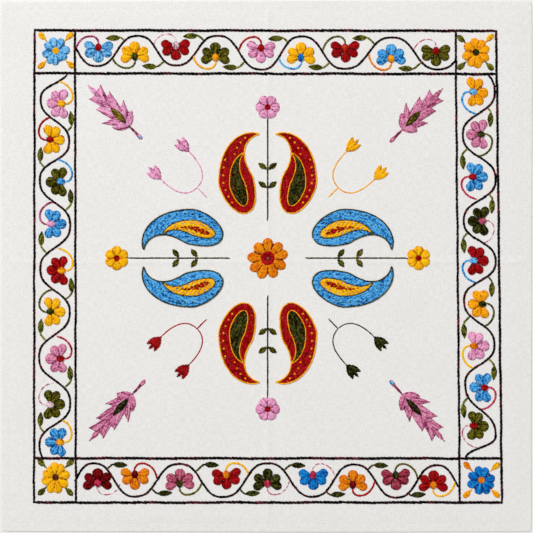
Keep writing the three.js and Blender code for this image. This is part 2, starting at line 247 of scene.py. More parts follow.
@dataclass(frozen=True)
class SilkFloss:
    """Flat stranded silk: a soft gloss, fine filaments along the strand and a tone for each stitch, which
    picks its colour between painted shade and painted sheen.
    """

    silk: Silk
    roughness: float = 0.45
    specular: float = 0.11
    stitch_swing: float = 1.0
    filament_swing: float = 0.9
    patch_swing: float = 1.5
    filaments_across: float = 7.0
    filament_run_mm: float = 3.5
    filament_relief_mm: float = 0.08
    patch_size_mm: float = 1.9
    # Painted light: a ramp from a painted deep shade to the painted sheen of lit floss.
    painted_shade_to_sheen: Rows = (
        (0.0, 1.55, 0.34),
        (0.18, 1.35, 0.72),
        (0.46, 1.0, 1.0),
        (0.92, 0.6, 1.0),
    )

    def material(self) -> bpy.types.Material:
        """Make the silk's material, or find it where another piece has it already.

        Returns:
            The material. A place's tone is the stitch's own, with its painted shade and highlight, plus noise
            stretched along the strand and soft patches over the cloth. The tone picks the colour on a ramp
            whose rows are tone, power and
            factor: the silk's linear colour to that power times that factor, which goes from a painted deep
                shade to the
            painted sheen of lit floss.
        """
        name = f"silk_{self.silk.name.lower()}"
        found = bpy.data.materials.get(name)
        if found:
            return found
        tree = NodeTree(bpy.data.materials.new(name))
        strand = tree.add("UVMap", uv_map="strand")
        run = tree.mapped(strand, "UV", (1 / self.filament_run_mm, self.filaments_across, 1))
        filaments = tree.noise(run, scale=1.0, detail=3.0)
        place = tree.add("TexCoord")
        patches = tree.noise(tree.mapped(place, "Object", (1, 1, 1)), 1 / (self.patch_size_mm * MM))
        tone = tree.add("Attribute", attribute_name="tone")
        lively = self.silk.liveliness()
        swings = [
            (tone, "Fac", 0.5, self.stitch_swing * (0.5 + 0.5 * lively)),
            (filaments, "Fac", 0.5, self.filament_swing * lively),
            (patches, "Fac", 0.5, self.patch_swing * lively),
        ]
        # The ramp paints shade and sheen into the silk's colour by the tone.
        ramp = tree.add("ValToRGB")
        stops = ramp.color_ramp.elements
        base = np.array(linear(self.silk.value)[:3])
        for index, (tone_at, power, factor) in enumerate(self.painted_shade_to_sheen):
            stop = stops[index] if index < 2 else stops.new(tone_at)
            stop.position = tone_at
            stop.color = (*(factor * base**power).tolist(), 1.0)
        tree.join(tree.sum(swings, 0.5), "Value", ramp, "Fac")
        tree.join(ramp, "Color", tree.shader, "Base Color")
        tree.shader.inputs["Roughness"].default_value = self.roughness
        tree.shader.inputs["Specular IOR Level"].default_value = self.specular * max(self.silk.value) / 255
        tree.bump(filaments, "Fac", self.filament_relief_mm * MM)
        return tree.material


@dataclass(frozen=True)
class Cotton:
    """Fine plain-woven cotton: a thread lattice, slubs along both ways and a faint grey unevenness."""

    name: str = "cotton_muslin"
    colour: Colour = (240, 238, 235)
    thread_pitch_mm: float = 0.42
    slub_swing: float = 0.22
    cloud_swing: float = 0.05
    weave_relief_mm: float = 0.05
    wave_distortion: float = 0.6
    lattice_height: float = 0.5
    slub_height: float = 0.9
    slub_scale: tuple[float, float] = (950.0, 200.0)
    cloud_scale: float = 28.0
    roughness: float = 0.88
    specular: float = 0.25
    sheen: float = 0.15

    def material(self) -> bpy.types.Material:
        """Make the cotton's material, with the weave as bump and colour on Object coordinates.

        Returns:
            The material. The lattice is the higher of two wave patterns, one along each way, and the slubs
            are noise drawn out along each way.
        """
        tree = NodeTree(bpy.data.materials.new(self.name))
        place = tree.add("TexCoord")
        waves = []
        for direction in ("X", "Y"):
            wave = tree.add("TexWave", bands_direction=direction, wave_profile="SIN")
            wave.inputs["Scale"].default_value = WAVE_PERIOD / (self.thread_pitch_mm * MM)
            wave.inputs["Distortion"].default_value = self.wave_distortion
            wave.inputs["Detail"].default_value = 1.0
            tree.join(place, "Object", wave, "Vector")
            waves.append(wave)
        lattice = tree.add("Math", operation="MAXIMUM")
        tree.join(waves[0], "Fac", lattice, 0)
        tree.join(waves[1], "Fac", lattice, 1)
        across, along = self.slub_scale
        warp_slubs = tree.noise(tree.mapped(place, "Object", (across, along, 1)), 1.0)
        weft_slubs = tree.noise(tree.mapped(place, "Object", (along, across, 1)), 1.0)
        clouds = tree.noise(tree.mapped(place, "Object", (1, 1, 1)), self.cloud_scale, detail=3.0)
        swings = [
            (warp_slubs, "Fac", 0.5, self.slub_swing),
            (weft_slubs, "Fac", 0.5, self.slub_swing),
            (clouds, "Fac", 0.5, self.cloud_swing),
        ]
        brightness = tree.sum(swings, 1.0)
        tree.tint(self.colour, brightness)
        height = tree.sum(
            [
                (lattice, "Value", 0.5, self.lattice_height),
                (warp_slubs, "Fac", 0.5, self.slub_height),
                (weft_slubs, "Fac", 0.5, self.slub_height),
            ],
            0.5,
        )
        tree.shader.inputs["Roughness"].default_value = self.roughness
        tree.shader.inputs["Specular IOR Level"].default_value = self.specular
        tree.shader.inputs["Sheen Weight"].default_value = self.sheen
        tree.bump(height, "Value", self.weave_relief_mm * MM)
        return tree.material


@dataclass(frozen=True)
class PlainPaint:
    """A plain matt finish, for the floor."""

    name: str
    colour: Colour
    roughness: float = 0.9

    def material(self) -> bpy.types.Material:
        """Make the finish, with a faint cloudiness so that it isn't one flat colour.

        Returns:
            The material.
        """
        tree = NodeTree(bpy.data.materials.new(self.name))
        place = tree.add("TexCoord")
        clouds = tree.noise(tree.mapped(place, "Object", (1, 1, 1)), 6.0)
        brightness = tree.sum([(clouds, "Fac", 0.5, 0.03)], 1.0)
        tree.tint(self.colour, brightness)
        tree.shader.inputs["Roughness"].default_value = self.roughness
        return tree.material


def quad_mesh(name: str, points: Array, quads: Array, smooth: bool = True) -> bpy.types.Mesh:
    """Put points and four-cornered faces into a mesh as whole arrays.

    Args:
        name: The mesh's name.
        points: Places in millimetres, one row each.
        quads: Four point numbers a row, counterclockwise as seen from outside.
        smooth: Whether the faces are shaded as one smooth surface.

    Returns:
        The mesh, in metres.
    """
    mesh = bpy.data.meshes.new(name)
    mesh.vertices.add(len(points))
    mesh.vertices.foreach_set("co", (points * MM).astype(np.float32).ravel())
    mesh.loops.add(quads.size)
    mesh.loops.foreach_set("vertex_index", quads.astype(np.int32).ravel())
    mesh.polygons.add(len(quads))
    mesh.polygons.foreach_set("loop_start", np.arange(0, quads.size, 4, dtype=np.int32))
    mesh.polygons.foreach_set("use_smooth", np.full(len(quads), smooth))
    mesh.update(calc_edges=True)
    return mesh


def dressed(mesh: bpy.types.Mesh, finish: SilkFloss | Cotton | PlainPaint) -> Object:
    """Make an object of a mesh, at the origin.

    Args:
        mesh: The mesh.
        finish: The finish that it gets.

    Returns:
        The object.
    """
    piece = bpy.data.objects.new(mesh.name, mesh)
    bpy.context.scene.collection.objects.link(piece)
    mesh.materials.append(finish.material())
    return piece


def placed(points: Array, turn: float, at: Place) -> Array:
    """Turn points about the origin, then move them.

    Args:
        points: The points.
        turn: The angle in degrees.
        at: Where the origin goes.

    Returns:
        The points after that.
    """
    angle = np.radians(turn)
    rotation = np.array([[np.cos(angle), np.sin(angle)], [-np.sin(angle), np.cos(angle)]])
    return points @ rotation + np.array(at)


def smooth_step(share: Array) -> Array:
    """Ease a share from 0 to 1 by 3 s squared less 2 s cubed, held at 0 and 1 outside."""
    held = np.clip(share, 0, 1)
    return held * held * (3 - 2 * held)


@dataclass(frozen=True)
class Fold:
    """An ironed-in fold: a soft ridge along one axis, with a shallow trough on its far side."""

    runs: str
    at: float
    rise: float
    starts: float = -300.0
    ends: float = 300.0
    half_width: float = 2.4
    trough: float = 0.35

    def height(self, x: Array, y: Array) -> Array:
        """Work out the fold's height over flat cloth.

        Args:
            x: Places across the cloth, in millimetres.
            y: Places up the cloth, in millimetres.

        Returns:
            rise times a bell over the fold's line, less a wider, lower bell beside it, eased to nothing
            past the fold's two ends and a little uneven along it.
        """
        across, along = (x, y) if self.runs == "y" else (y, x)
        distance = (across - self.at) / self.half_width
        ridge = np.exp(-distance * distance)
        beside = np.exp(-((distance - 2.2) ** 2) / 2)
        inside = smooth_step((along - self.starts) / 14) * smooth_step((self.ends - along) / 14)
        uneven = 1 + 0.25 * np.sin(along / 31 + self.at)
        return self.rise * inside * uneven * (ridge - self.trough * beside)


@dataclass(frozen=True)
class MuslinSquare:
    """The cloth: one thin sheet with a narrow turned hem, faint folds and a slight unevenness."""

    side: float = 457.0
    middle: float = 0.76
    half_thickness: float = 0.2
    hem_width: float = 5.2
    hem_half: float = 0.32
    hem_edge_half: float = 0.22
    hem_step: float = 1.1
    hem_droop: float = 0.44
    droop_reach: float = 14.0
    edge_wander: float = 0.4
    wander_wave: float = 97.0
    corner_softness: float = 0.7
    corner_sharpness: float = 60.0
    swell: float = 0.1
    grid_step: float = 3.2
    folds: tuple[Fold, ...] = (
        Fold("y", 1.3, 0.26),
        Fold("x", 3.9, 0.22),
        Fold("y", -25.4, 0.16, starts=128, ends=172),
        Fold("y", -40.0, 0.14, ends=-176),
        Fold("y", 147.0, 0.14, ends=-172),
        Fold("x", 152.0, 0.14, starts=190),
        Fold("x", 3.9, 0.16, starts=196),
    )

    def half(self) -> float:
        """Half of the cloth's side."""
        return self.side / 2

    def relief(self, x: Array, y: Array) -> Array:
        """Work out the height of the sheet's middle surface.

        Args:
            x: Places across the cloth, in millimetres.
            y: Places up the cloth, in millimetres.

        Returns:
            The middle height plus the folds and a slow swell, a sum of three crossed sine waves. Both fade
            out over the hem, whose edge droops to the floor by an eased step.
        """
        edge = self.half() - np.maximum(np.abs(x), np.abs(y))
        inside = smooth_step((edge - self.hem_width) / 6)
        waves = np.sin(x / 41 + 0.6) * np.cos(y / 53) + np.sin((x + y) / 67) + 0.6 * np.cos((x - 2 * y) / 29)
        ridges = sum(fold.height(x, y) for fold in self.folds)
        droop = self.hem_droop * (1 - smooth_step(edge / self.droop_reach))
        return self.middle - droop + inside * (ridges + self.swell * 0.4 * waves)

    def thickness_half(self, edge: Array) -> Array:
        """Work out half of the cloth's thickness from the distance to its edge.

        Args:
            edge: Distances inward from the cut square's edge, in millimetres.

        Returns:
            A rounded fold at the edge, the hem's three layers as far as its width, and the single cloth
            past a soft step.
        """
        rim = np.sqrt(np.clip(edge / 1.2, 0, 1) * (2 - np.clip(edge / 1.2, 0, 1)))
        hem = self.hem_edge_half + (self.hem_half - self.hem_edge_half) * rim
        step = smooth_step((edge - self.hem_width) / self.hem_step)
        dip = 0.06 * np.exp(-(((edge - self.hem_width + 0.9) / 0.5) ** 2))
        return hem + (self.half_thickness - hem) * step - dip * (1 - step)

    def grid_lines(self, runs: str) -> Array:
        """Place the grid's lines along one axis: even, and close together at the hem and the folds.

        Args:
            runs: The direction that the folds to follow run in.

        Returns:
            The sorted places in millimetres.
        """
        inner = self.half() - self.hem_width - 3
        even = np.linspace(-inner, inner, int(2 * inner / self.grid_step))
        hem = self.half() - np.array([0, 0.25, 0.6, 1.2, 2.2, 3.4, 3.9, 4.3, 4.7, 5.2, 5.6, 6, 6.5, 7.2])
        folds = [
            fold.at + fold.half_width * np.array([-2, -1.2, -0.8, -0.4, 0, 0.4, 0.8, 1.2, 2, 3])
            for fold in self.folds[:2]
            if fold.runs == runs
        ]
        lines = np.sort(np.concatenate([even, hem, -hem, *folds]))
        return lines[np.concatenate([[True], np.diff(lines) > 0.12])]

    def build(self) -> Object:
        """Build the sheet as one closed shell.

        Returns:
            The piece. Its upper and lower faces are one grid each, half a thickness over and under the
            middle surface, joined by a wall around the rim. The edges wander a little by a cubed sine, and
            the corners are drawn in.
        """
        xs, ys = self.grid_lines("y"), self.grid_lines("x")
        x, y = np.meshgrid(xs, ys)
        half = self.half()
        corner = (np.abs(x * y) / half**2) ** self.corner_sharpness * self.corner_softness
        across = x - np.sign(x) * corner + self.wander(y) * (x / half) ** 3
        up = y - np.sign(y) * corner + self.wander(x + self.wander_wave) * (y / half) ** 3
        middle = self.relief(x, y)
        thick = self.thickness_half(half - np.maximum(np.abs(x), np.abs(y)))
        top = np.stack([across, up, middle + thick], -1).reshape(-1, 3)
        bottom = np.stack([across, up, middle - thick], -1).reshape(-1, 3)
        rows, columns = x.shape
        number = np.arange(rows * columns).reshape(rows, columns)
        corners = [number[:-1, :-1], number[:-1, 1:], number[1:, 1:], number[1:, :-1]]
        faces = np.stack(corners, -1).reshape(-1, 4)
        rim = np.concatenate([number[0, :-1], number[:-1, -1], number[-1, :0:-1], number[:0:-1, 0]])
        beyond = np.roll(rim, -1)
        lower = rows * columns
        wall = np.stack([rim + lower, beyond + lower, beyond, rim], -1)
        quads = np.concatenate([faces, faces[:, ::-1] + lower, wall])
        piece = dressed(quad_mesh("muslin_square", np.concatenate([top, bottom]), quads), Cotton())
        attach(piece, BODY)
        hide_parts(CLOTH_NODE)
        return piece

    def wander(self, along: Array) -> Array:
        """Work out how far an edge wanders: a cubed sine along it."""
        return self.edge_wander * np.sin(along / self.wander_wave) ** 3


# A strand's six-sided profile, from its right shoulder over the crest and under the keel.
ACROSS = np.array([1, 0, -1, -1, 0, 1])
UPWARD = np.array([1, 1, 1, -1, -1, -1])
SHOULDER = np.array([1, 0, 1, 1, 0, 1])
GROOVE = 0.3

# What a stitch is like at its five stations, and how far its ends stand out of the cloth's middle.
STATIONS = 5
STRAND_WIDTHS = np.array([0.6, 0.95, 1.0, 0.95, 0.6])
STRAND_RISES = np.array([0.0, 0.86, 1.0, 0.86, 0.0])
# Painted shade at a stitch's two ends, where it dives into the cloth, and a painted highlight on its crest.
STRAND_PAINTED_SHADE_AND_HIGHLIGHT = np.array([1, 0.1, -0.25, 0.1, 1])
ROPE_SHARES = np.array([0, 0.09, 0.5, 0.91, 1])
ROPE_LOFTS = np.array([0, 0.8, 1, 0.8, 0])
DIP = 0.18


@dataclass
class Stitches:
    """Stitches of one thread: the stations along each, with half widths and half heights there."""

    centre: Array
    half_width: Array
    half_height: Array
    tone: Array

    @staticmethod
    def joined(parts: list["Stitches"]) -> "Stitches":
        """Join several sets of stitches into one."""
        names = ("centre", "half_width", "half_height", "tone")
        return Stitches(*(np.concatenate([getattr(part, name) for part in parts]) for name in names))

    def mesh(self, name: str) -> bpy.types.Mesh:
        """Carry a six-sided profile along every stitch.

        Args:
            name: The mesh's name.

        Returns:
            The mesh. A ring has a crest, a keel and four shoulders. The crest and keel lie half a height over
            and under the station's centre, and the shoulders half a width to the sides and lower than
            they by the groove's depth, which is at most six tenths of the half height. Two four-cornered
            faces close each end. The UV map holds the way along the strand in millimetres and the share
            of the way around it, and the tone is one number a station: the stitch's random tone with its
            painted shade and highlight.
        """
        count, sides = len(self.centre), len(ACROSS)
        along = np.gradient(self.centre[:, :, :2], axis=1)
        along /= np.linalg.norm(along, axis=2, keepdims=True) + 1e-9
        sideways = np.stack([-along[:, :, 1], along[:, :, 0], np.zeros(along.shape[:2])], -1)
        offset = sideways[:, :, None] * (self.half_width[:, :, None] * ACROSS)[..., None]
        groove = np.minimum(0.6 * self.half_height, GROOVE)
        offset[..., 2] += UPWARD * (self.half_height[:, :, None] - groove[:, :, None] * SHOULDER)
        points = self.centre[:, :, None] + offset
        ring, side = np.meshgrid(np.arange(STATIONS - 1), np.arange(sides), indexing="ij")
        turn = (side + 1) % sides
        wall = np.stack([ring * sides + side, ring * sides + turn,
                         (ring + 1) * sides + turn, (ring + 1) * sides + side], -1).reshape(-1, 4)
        first = np.array([[0, 5, 4, 3], [0, 3, 2, 1]])
        last = np.array([[0, 1, 2, 3], [0, 3, 4, 5]]) + (STATIONS - 1) * sides
        faces = np.concatenate([wall, first, last])
        quads = (np.arange(count)[:, None, None] * STATIONS * sides + faces).reshape(-1, 4)
        mesh = quad_mesh(name, points.reshape(-1, 3), quads)
        self.map_strands(mesh, wall.reshape(STATIONS - 1, sides, 4), len(faces))
        # The tone carries the stitch's random tone with its painted shade and highlight.
        tone = mesh.attributes.new("tone", "FLOAT", "POINT")
        tone.data.foreach_set("value", np.repeat(self.tone.ravel(), sides).astype(np.float32))
        return mesh

    def map_strands(self, mesh: bpy.types.Mesh, wall: Array, faces: int) -> None:
        """Write the UV map: the distance along the strand and the share of the way around it.

        Args:
            mesh: The stitches' mesh.
            wall: One stitch's side faces, by ring and side.
            faces: How many faces each stitch has.
        """
        steps = np.linalg.norm(np.diff(self.centre, axis=1), axis=2)
        reach = np.concatenate([np.zeros((len(steps), 1)), np.cumsum(steps, axis=1)], axis=1)
        rings, sides = wall.shape[:2]
        u = reach[:, np.arange(rings)[:, None, None] + np.array([0, 0, 1, 1])]
        u = np.broadcast_to(u, (len(reach), rings, sides, 4))
        v = (np.arange(sides)[:, None] + np.array([0, 1, 1, 0])) / sides
        v = np.broadcast_to(v, u.shape) + self.tone[:, 2, None, None, None] * 37
        uv = np.zeros((len(reach), faces * 4, 2))
        uv[:, : rings * sides * 4, 0] = u.reshape(len(reach), -1)
        uv[:, : rings * sides * 4, 1] = v.reshape(len(reach), -1)
        layer = mesh.uv_layers.new(name="strand")
        layer.data.foreach_set("uv", uv.astype(np.float32).ravel())


def hatch(
    outline: Array, angle: float, pitch: float, longest: float, rng: np.random.Generator
) -> tuple[Array, Array]:
    """Fill a closed outline with rows of stitches.

    Args:
        outline: The outline's points, one row each.
        angle: The threads' direction in degrees.
        pitch: The distance between two threads.
        longest: The longest stitch. A longer row is cut into even stitches, whose joints are shifted from
            row to row as bricks are.
        rng: The source of the small unevenness of the joints.

    Returns:
        The stitches' starts and ends. A row at height h meets the edge from (x0, y0) to (x1, y1) at
        x0 + (h - y0) / (y1 - y0) * (x1 - x0), and its meeting points, sorted, are entries and exits by turns.
    """
    flat = placed(outline, -angle, (0, 0))
    beyond = np.roll(flat, -1, axis=0)
    low, high = flat[:, 1].min(), flat[:, 1].max()
    rows = max(1, int(round((high - low) / pitch)))
    level = (low + (np.arange(rows) + 0.5) * (high - low) / rows)[:, None]
    spans = (flat[:, 1] <= level) != (beyond[:, 1] <= level)
    rise = np.where(spans, beyond[:, 1] - flat[:, 1], 1.0)
    meets = flat[:, 0] + (level - flat[:, 1]) / rise * (beyond[:, 0] - flat[:, 0])
    meets = np.sort(np.where(spans, meets, np.inf), axis=1)
    meets = meets[:, : 2 * (meets.shape[1] // 2)]
    entry, leave = meets[:, 0::2], meets[:, 1::2]
    row, pair = np.nonzero(np.isfinite(leave))
    entry, leave = entry[row, pair], leave[row, pair]
    pieces = np.maximum(1, np.ceil((leave - entry) / longest)).astype(int)
    owner = np.repeat(np.arange(len(pieces)), pieces)
    within = np.arange(len(owner)) - np.repeat(np.cumsum(pieces) - pieces, pieces)
    shift = 0.5 * (row % 2) - 0.25 + rng.uniform(-0.12, 0.12, len(row))
    last = pieces[owner]
    joint = [
        np.where((step == 0) | (step == last), step, step + shift[owner]) for step in (within, within + 1)
    ]
    share = [place / last for place in joint]
    ends = [entry[owner] + part * (leave - entry)[owner] for part in share]
    height = level[row[owner], 0]
    start, end = (placed(np.stack([x, height], -1), angle, (0, 0)) for x in ends)
    return start, end


def outline_of(stations: Array, left: Array, right: Array | None = None) -> Array:
    """Close an outline around the x axis.

    Args:
        stations: Places along the axis.
        left: The half widths there on the left.
        right: Those on the right, if they aren't the same.

    Returns:
        The outline's points.
    """
    right = left if right is None else right
    upper = np.stack([stations, left], -1)
    lower = np.stack([stations, -right], -1)
    return np.concatenate([lower, upper[::-1]])


def petal(start: float, reach: float, width: float, base: float = 0.3, widest: float = 0.62) -> Array:
    """Draw a petal along the x axis.

    Args:
        start: Where it starts.
        reach: Where it ends.
        width: Its greatest width.
        base: Its width at the start, as a share of that.
        widest: Where it is widest, as a share of its length.

    Returns:
        The outline. The half width grows by an eased step up to the widest place, then falls off as an
        ellipse does.
    """
    share = 1 - (1 - np.linspace(0, 1, 15)) ** 1.5
    grow = base + (1 - base) * smooth_step(share / widest)
    fall = np.sqrt(np.clip(1 - (np.clip(share - widest, 0, 1) / (1 - widest)) ** 2.2, 0, 1))
    return outline_of(start + share * (reach - start), width / 2 * grow * fall)


def lens(start: Array, end: Array, width: float, fullest: float = 0.5) -> Array:
    """Draw a pointed oval between two places.

    Args:
        start: One point.
        end: The other point.
        width: Its greatest width.
        fullest: Where it is widest, as a share of its length.

    Returns:
        The outline, whose half width is a sine of the share of the way, bent so that its top lies at the
        fullest place.
    """
    share = np.linspace(0, 1, 13)
    bent = share ** (np.log(0.5) / np.log(fullest))
    way = np.array(end, float) - np.array(start, float)
    flat = outline_of(share * np.linalg.norm(way), width / 2 * np.sin(np.pi * bent) ** 0.85)
    return placed(flat, np.degrees(np.arctan2(way[1], way[0])), tuple(start))


def heading_of(start: Array, end: Array) -> float:
    """The direction from one place to another, in degrees."""
    return float(np.degrees(np.arctan2(end[1] - start[1], end[0] - start[0])))


def bezier(*points: Place, steps: int = 24) -> Array:
    """Draw a Bezier curve of any degree.

    Args:
        *points: Its control points.
        steps: How many points to draw.

    Returns:
        The points: at share t, the sum of the control points weighted by binomial (n, k) t^k (1 - t)^(n - k).
    """
    share = np.linspace(0, 1, steps)[:, None]
    level = [np.array(point, float) + np.zeros((steps, 2)) for point in points]
    while len(level) > 1:
        level = [a * (1 - share) + b * share for a, b in zip(level, level[1:])]
    return level[0]


def padding(outline: Array, loft: float, rim: float = 1.3) -> Pad:
    """Make the function that pads a shape in its middle and paints shade on its edge.

    Args:
        outline: The shape's outline.
        loft: The padding's height where the shape is fullest.
        rim: How wide the painted shade at the edge is.

    Returns:
        A function of places. With d the distance to the nearest of the outline's straight parts and D the
        greatest such distance, the loft is the height times the square root of 1 - (1 - d / D) squared,
        and the painted edge shade 1 - d / rim, held at 0.
    """
    start, way = outline, np.roll(outline, -1, axis=0) - outline
    square = np.maximum((way**2).sum(1), 1e-9)

    def padded(places: Array) -> tuple[Array, Array]:
        """Pad places.

        Args:
            places: The places.

        Returns:
            The loft and the painted edge shade there.
        """
        from_start = places[..., None, :] - start
        share = np.clip((from_start * way).sum(-1) / square, 0, 1)
        distance = np.linalg.norm(from_start - share[..., None] * way, axis=-1).min(-1)
        depth = np.clip(distance / max(distance.max(), 0.1), 0, 1)
        return loft * np.sqrt(1 - (1 - depth) ** 2), np.clip(1 - distance / rim, 0, 1)

    return padded


def oval(at: Place, length: float, width: float) -> Array:
    """Draw an oval whose length runs along y."""
    angle = np.linspace(0, 2 * np.pi, 20, endpoint=False)
    return np.array(at) + np.stack([np.cos(angle) * width / 2, np.sin(angle) * length / 2], -1)


@dataclass
class Needle:
    """Lays stitches on the cloth, and keeps them by their silk until they are made into pieces."""

    cloth: MuslinSquare
    seed: int
    pitch: float = 0.8
    cover: float = 0.62
    rope_share: float = 0.32
    rise: float = 0.6
    deepest: float = 0.54
    tone_middle: float = 0.55
    tone_swing: float = 0.26
    # How strong the painted shade at stitch ends and the painted highlight on their crests are.
    painted_end_shade_and_highlight: float = 0.17
    # How strong the painted shade at the edges of shapes is.
    painted_edge_shade: float = 0.34
    sewn: dict[Silk, list[Stitches]] = field(default_factory=dict)

    def __post_init__(self) -> None:
        """Seed the unevenness of the hand."""
        self.rng = np.random.default_rng(self.seed)

    def lay(
        self, silk: Silk, places: Array, half_width: float | Array, rise: float | None = None,
        lift: float = 0.0, loft: float | Array = 0.0, edge: float | Array = 0.0, shade: float = 0.0,
    ) -> None:
        """Lay stitches whose stations are given.

        Args:
            silk: The thread.
            places: Stations of each stitch on the plane: stitches, stations, x and y.
            half_width: Half of a strand's width, one number or one a stitch.
            rise: How far the strands reach up and down from the middle of the cloth.
            lift: How much further they reach where they lie over others.
            loft: How much further they reach up alone, one number or one a station.
            edge: How much painted shade they get for lying at a shape's edge, from 0 to 1.
            shade: How much painted shade darkens them all along.
        """
        if not len(places):
            return
        count = len(places)
        rise = self.rise if rise is None else rise
        wide = np.broadcast_to(half_width, (count,)) * self.rng.uniform(0.92, 1.08, count)
        swell = self.rng.uniform(0.9, 1.06, count)[:, None] * STRAND_RISES
        top = DIP + (rise - DIP + lift) * swell + loft * self.rng.uniform(0.94, 1.06, (count, 1))
        keel = np.minimum(DIP + (rise - DIP + lift) * swell, self.deepest)
        height = self.cloth.relief(places[..., 0], places[..., 1]) + (top - keel) / 2
        # Painted shade at the stitch's ends with a painted highlight on its crest, painted shade at a shape's
        # edge, and painted shade all along where asked.
        ends = self.painted_end_shade_and_highlight * STRAND_PAINTED_SHADE_AND_HIGHLIGHT
        own = self.tone_swing * self.rng.uniform(-1, 1, (count, 1))
        tone = self.tone_middle - shade + own - np.maximum(self.painted_edge_shade * edge, ends)
        stitches = Stitches(
            centre=np.concatenate([places, height[..., None]], -1),
            half_width=wide[:, None] * STRAND_WIDTHS,
            half_height=(top + keel) / 2,
            tone=np.broadcast_to(tone, top.shape),
        )
        self.sewn.setdefault(silk, []).append(stitches)

    def straight(
        self, silk: Silk, start: Array, end: Array, half_width: float, rise: float | None = None,
        lift: float = 0.0, warp: Warp | None = None, loose: float = 0.1,
        padded: Pad | None = None, shade: float = 0.0,
    ) -> None:
        """Lay straight stitches between starts and ends.

        Args:
            silk: The thread.
            start: Starts, one row each.
            end: Ends, one row each.
            half_width: Half of a strand's width.
            rise: As for lay.
            lift: As for lay.
            warp: A function that carries flat places to where they lie, for a bent shape.
            loose: How unevenly the ends lie, in millimetres.
            padded: A function that gives the loft and the painted edge shade at flat places.
            shade: As for lay.
        """
        length = np.linalg.norm(end - start, axis=1)
        keep = length > 0.5
        start, end, length = start[keep], end[keep], length[keep]
        if not len(length):
            return
        dive = np.clip((1.0 if padded else 0.45) / length, 0.05, 0.3)
        share = np.stack([0 * dive, dive, 0 * dive + 0.5, 1 - dive, 0 * dive + 1], 1)
        stray = self.rng.normal(0, loose, (len(length), 2)) / length[:, None]
        share = share * (1 + stray[:, :1] + stray[:, 1:]) - stray[:, :1]
        places = start[:, None] + share[..., None] * (end - start)[:, None]
        loft, edge = padded(places) if padded else (0.0, 0.0)
        self.lay(silk, warp(places) if warp else places, half_width, rise, lift, loft, edge, shade)

    def stitch(self, silk: Silk, path: Array, half_width: float, **how: object) -> None:
        """Lay a straight stitch from each point of a path to the next, in the ways that straight takes."""
        self.straight(silk, path[:-1], path[1:], half_width, **how)

    def fill(
        self, silk: Silk, outline: Array, angle: float, longest: float = 9.0, lift: float = 0.0,
        rise: float | None = None, warp: Warp | None = None, pitch: float | None = None,
        loft: float = 0.0, mixed: tuple[Silk, float] | None = None,
    ) -> None:
        """Fill an outline with satin stitches.

        Args:
            silk: The thread.
            outline: The outline's points.
            angle: The threads' direction in degrees.
            longest: The longest stitch.
            lift: As for lay.
            rise: As for lay.
            warp: As for straight.
            pitch: The distance between two threads, if it isn't the usual one.
            loft: How high the shape is padded in its middle.
            mixed: A second thread, and the share of the stitches that have it.
        """
        pitch = self.pitch if pitch is None else pitch
        start, end = hatch(outline, angle, pitch, longest, self.rng)
        padded = padding(outline, loft)
        other = self.rng.uniform(0, 1, len(start)) < (mixed[1] if mixed else 0)
        for thread, chosen in ((silk, ~other), (mixed[0] if mixed else silk, other)):
            half_width = pitch * self.cover
            self.straight(thread, start[chosen], end[chosen], half_width, rise, lift, warp, padded=padded)

    def rope(
        self, silk: Silk, path: Array, width: float, step: float = 2.6, reach: float = 6.0,
        lift: float = 0.0, rise: float | None = None, fleck: Silk | None = None, flecks: float = 0.0,
        loft: float = 0.0, slant: float = 0.2,
    ) -> None:
        """Lay stem stitch along a path: slanted stitches that overlap like the strands of a rope.

        Args:
            silk: The thread.
            path: Points of the path.
            width: The rope's width.
            step: How far each stitch starts after the one before.
            reach: How long each stitch is.
            lift: As for lay.
            rise: As for lay.
            fleck: A second thread that some of the stitches have.
            flecks: The share of the stitches that have it.
            loft: How much further the strands reach up alone.
            slant: How far a stitch's ends lie to the sides, as a share of the width.
        """
        way = np.concatenate([[0], np.cumsum(np.linalg.norm(np.diff(path, axis=0), axis=1))])
        total = way[-1]
        reach = min(reach, total)
        count = max(2, int(round((total - reach) / step)) + 1)
        begin = np.linspace(0, total - reach, count) + self.rng.normal(0, 0.08 * step, count)
        distance = np.clip(begin[:, None] + ROPE_SHARES * reach, 0, total)
        tangent = np.gradient(path, axis=0)
        tangent /= np.linalg.norm(tangent, axis=1, keepdims=True)
        at = [np.interp(distance, way, path[:, axis]) for axis in (0, 1)]
        facing = [np.interp(distance, way, tangent[:, axis]) for axis in (0, 1)]
        aside = width * (slant * (1 - 2 * ROPE_SHARES) + self.rng.normal(0, 0.035, (count, 1)))
        places = np.stack([at[0] - facing[1] * aside, at[1] + facing[0] * aside], -1)
        chosen = self.rng.uniform(0, 1, count) < flecks
        half_width = width * self.rope_share
        loft = loft * ROPE_LOFTS
        if fleck:
            self.lay(fleck, places[chosen], half_width, rise, lift, loft)
            places = places[~chosen]
        self.lay(silk, places, half_width, rise, lift, loft)

    def knot(self, silk: Silk, at: Array | Place, radius: float, turns: int = 6, lift: float = 0.1) -> None:
        """Lay a round knot: short stitches side by side around a point.

        Args:
            silk: The thread.
            at: The knot's middle.
            radius: Its radius.
            turns: How many stitches lie around it.
            lift: How far it stands over the work.
        """
        angle = np.arange(turns) * 2 * np.pi / turns
        facing = np.stack([np.cos(angle), np.sin(angle)], -1)
        tangent = np.stack([-facing[:, 1], facing[:, 0]], -1)
        middle = np.array(at) + facing * radius * 0.5
        half = radius * 0.62
        start, end = middle - tangent * half, middle + tangent * half
        self.straight(silk, start, end, radius * 0.45, lift=lift, loose=0.02)

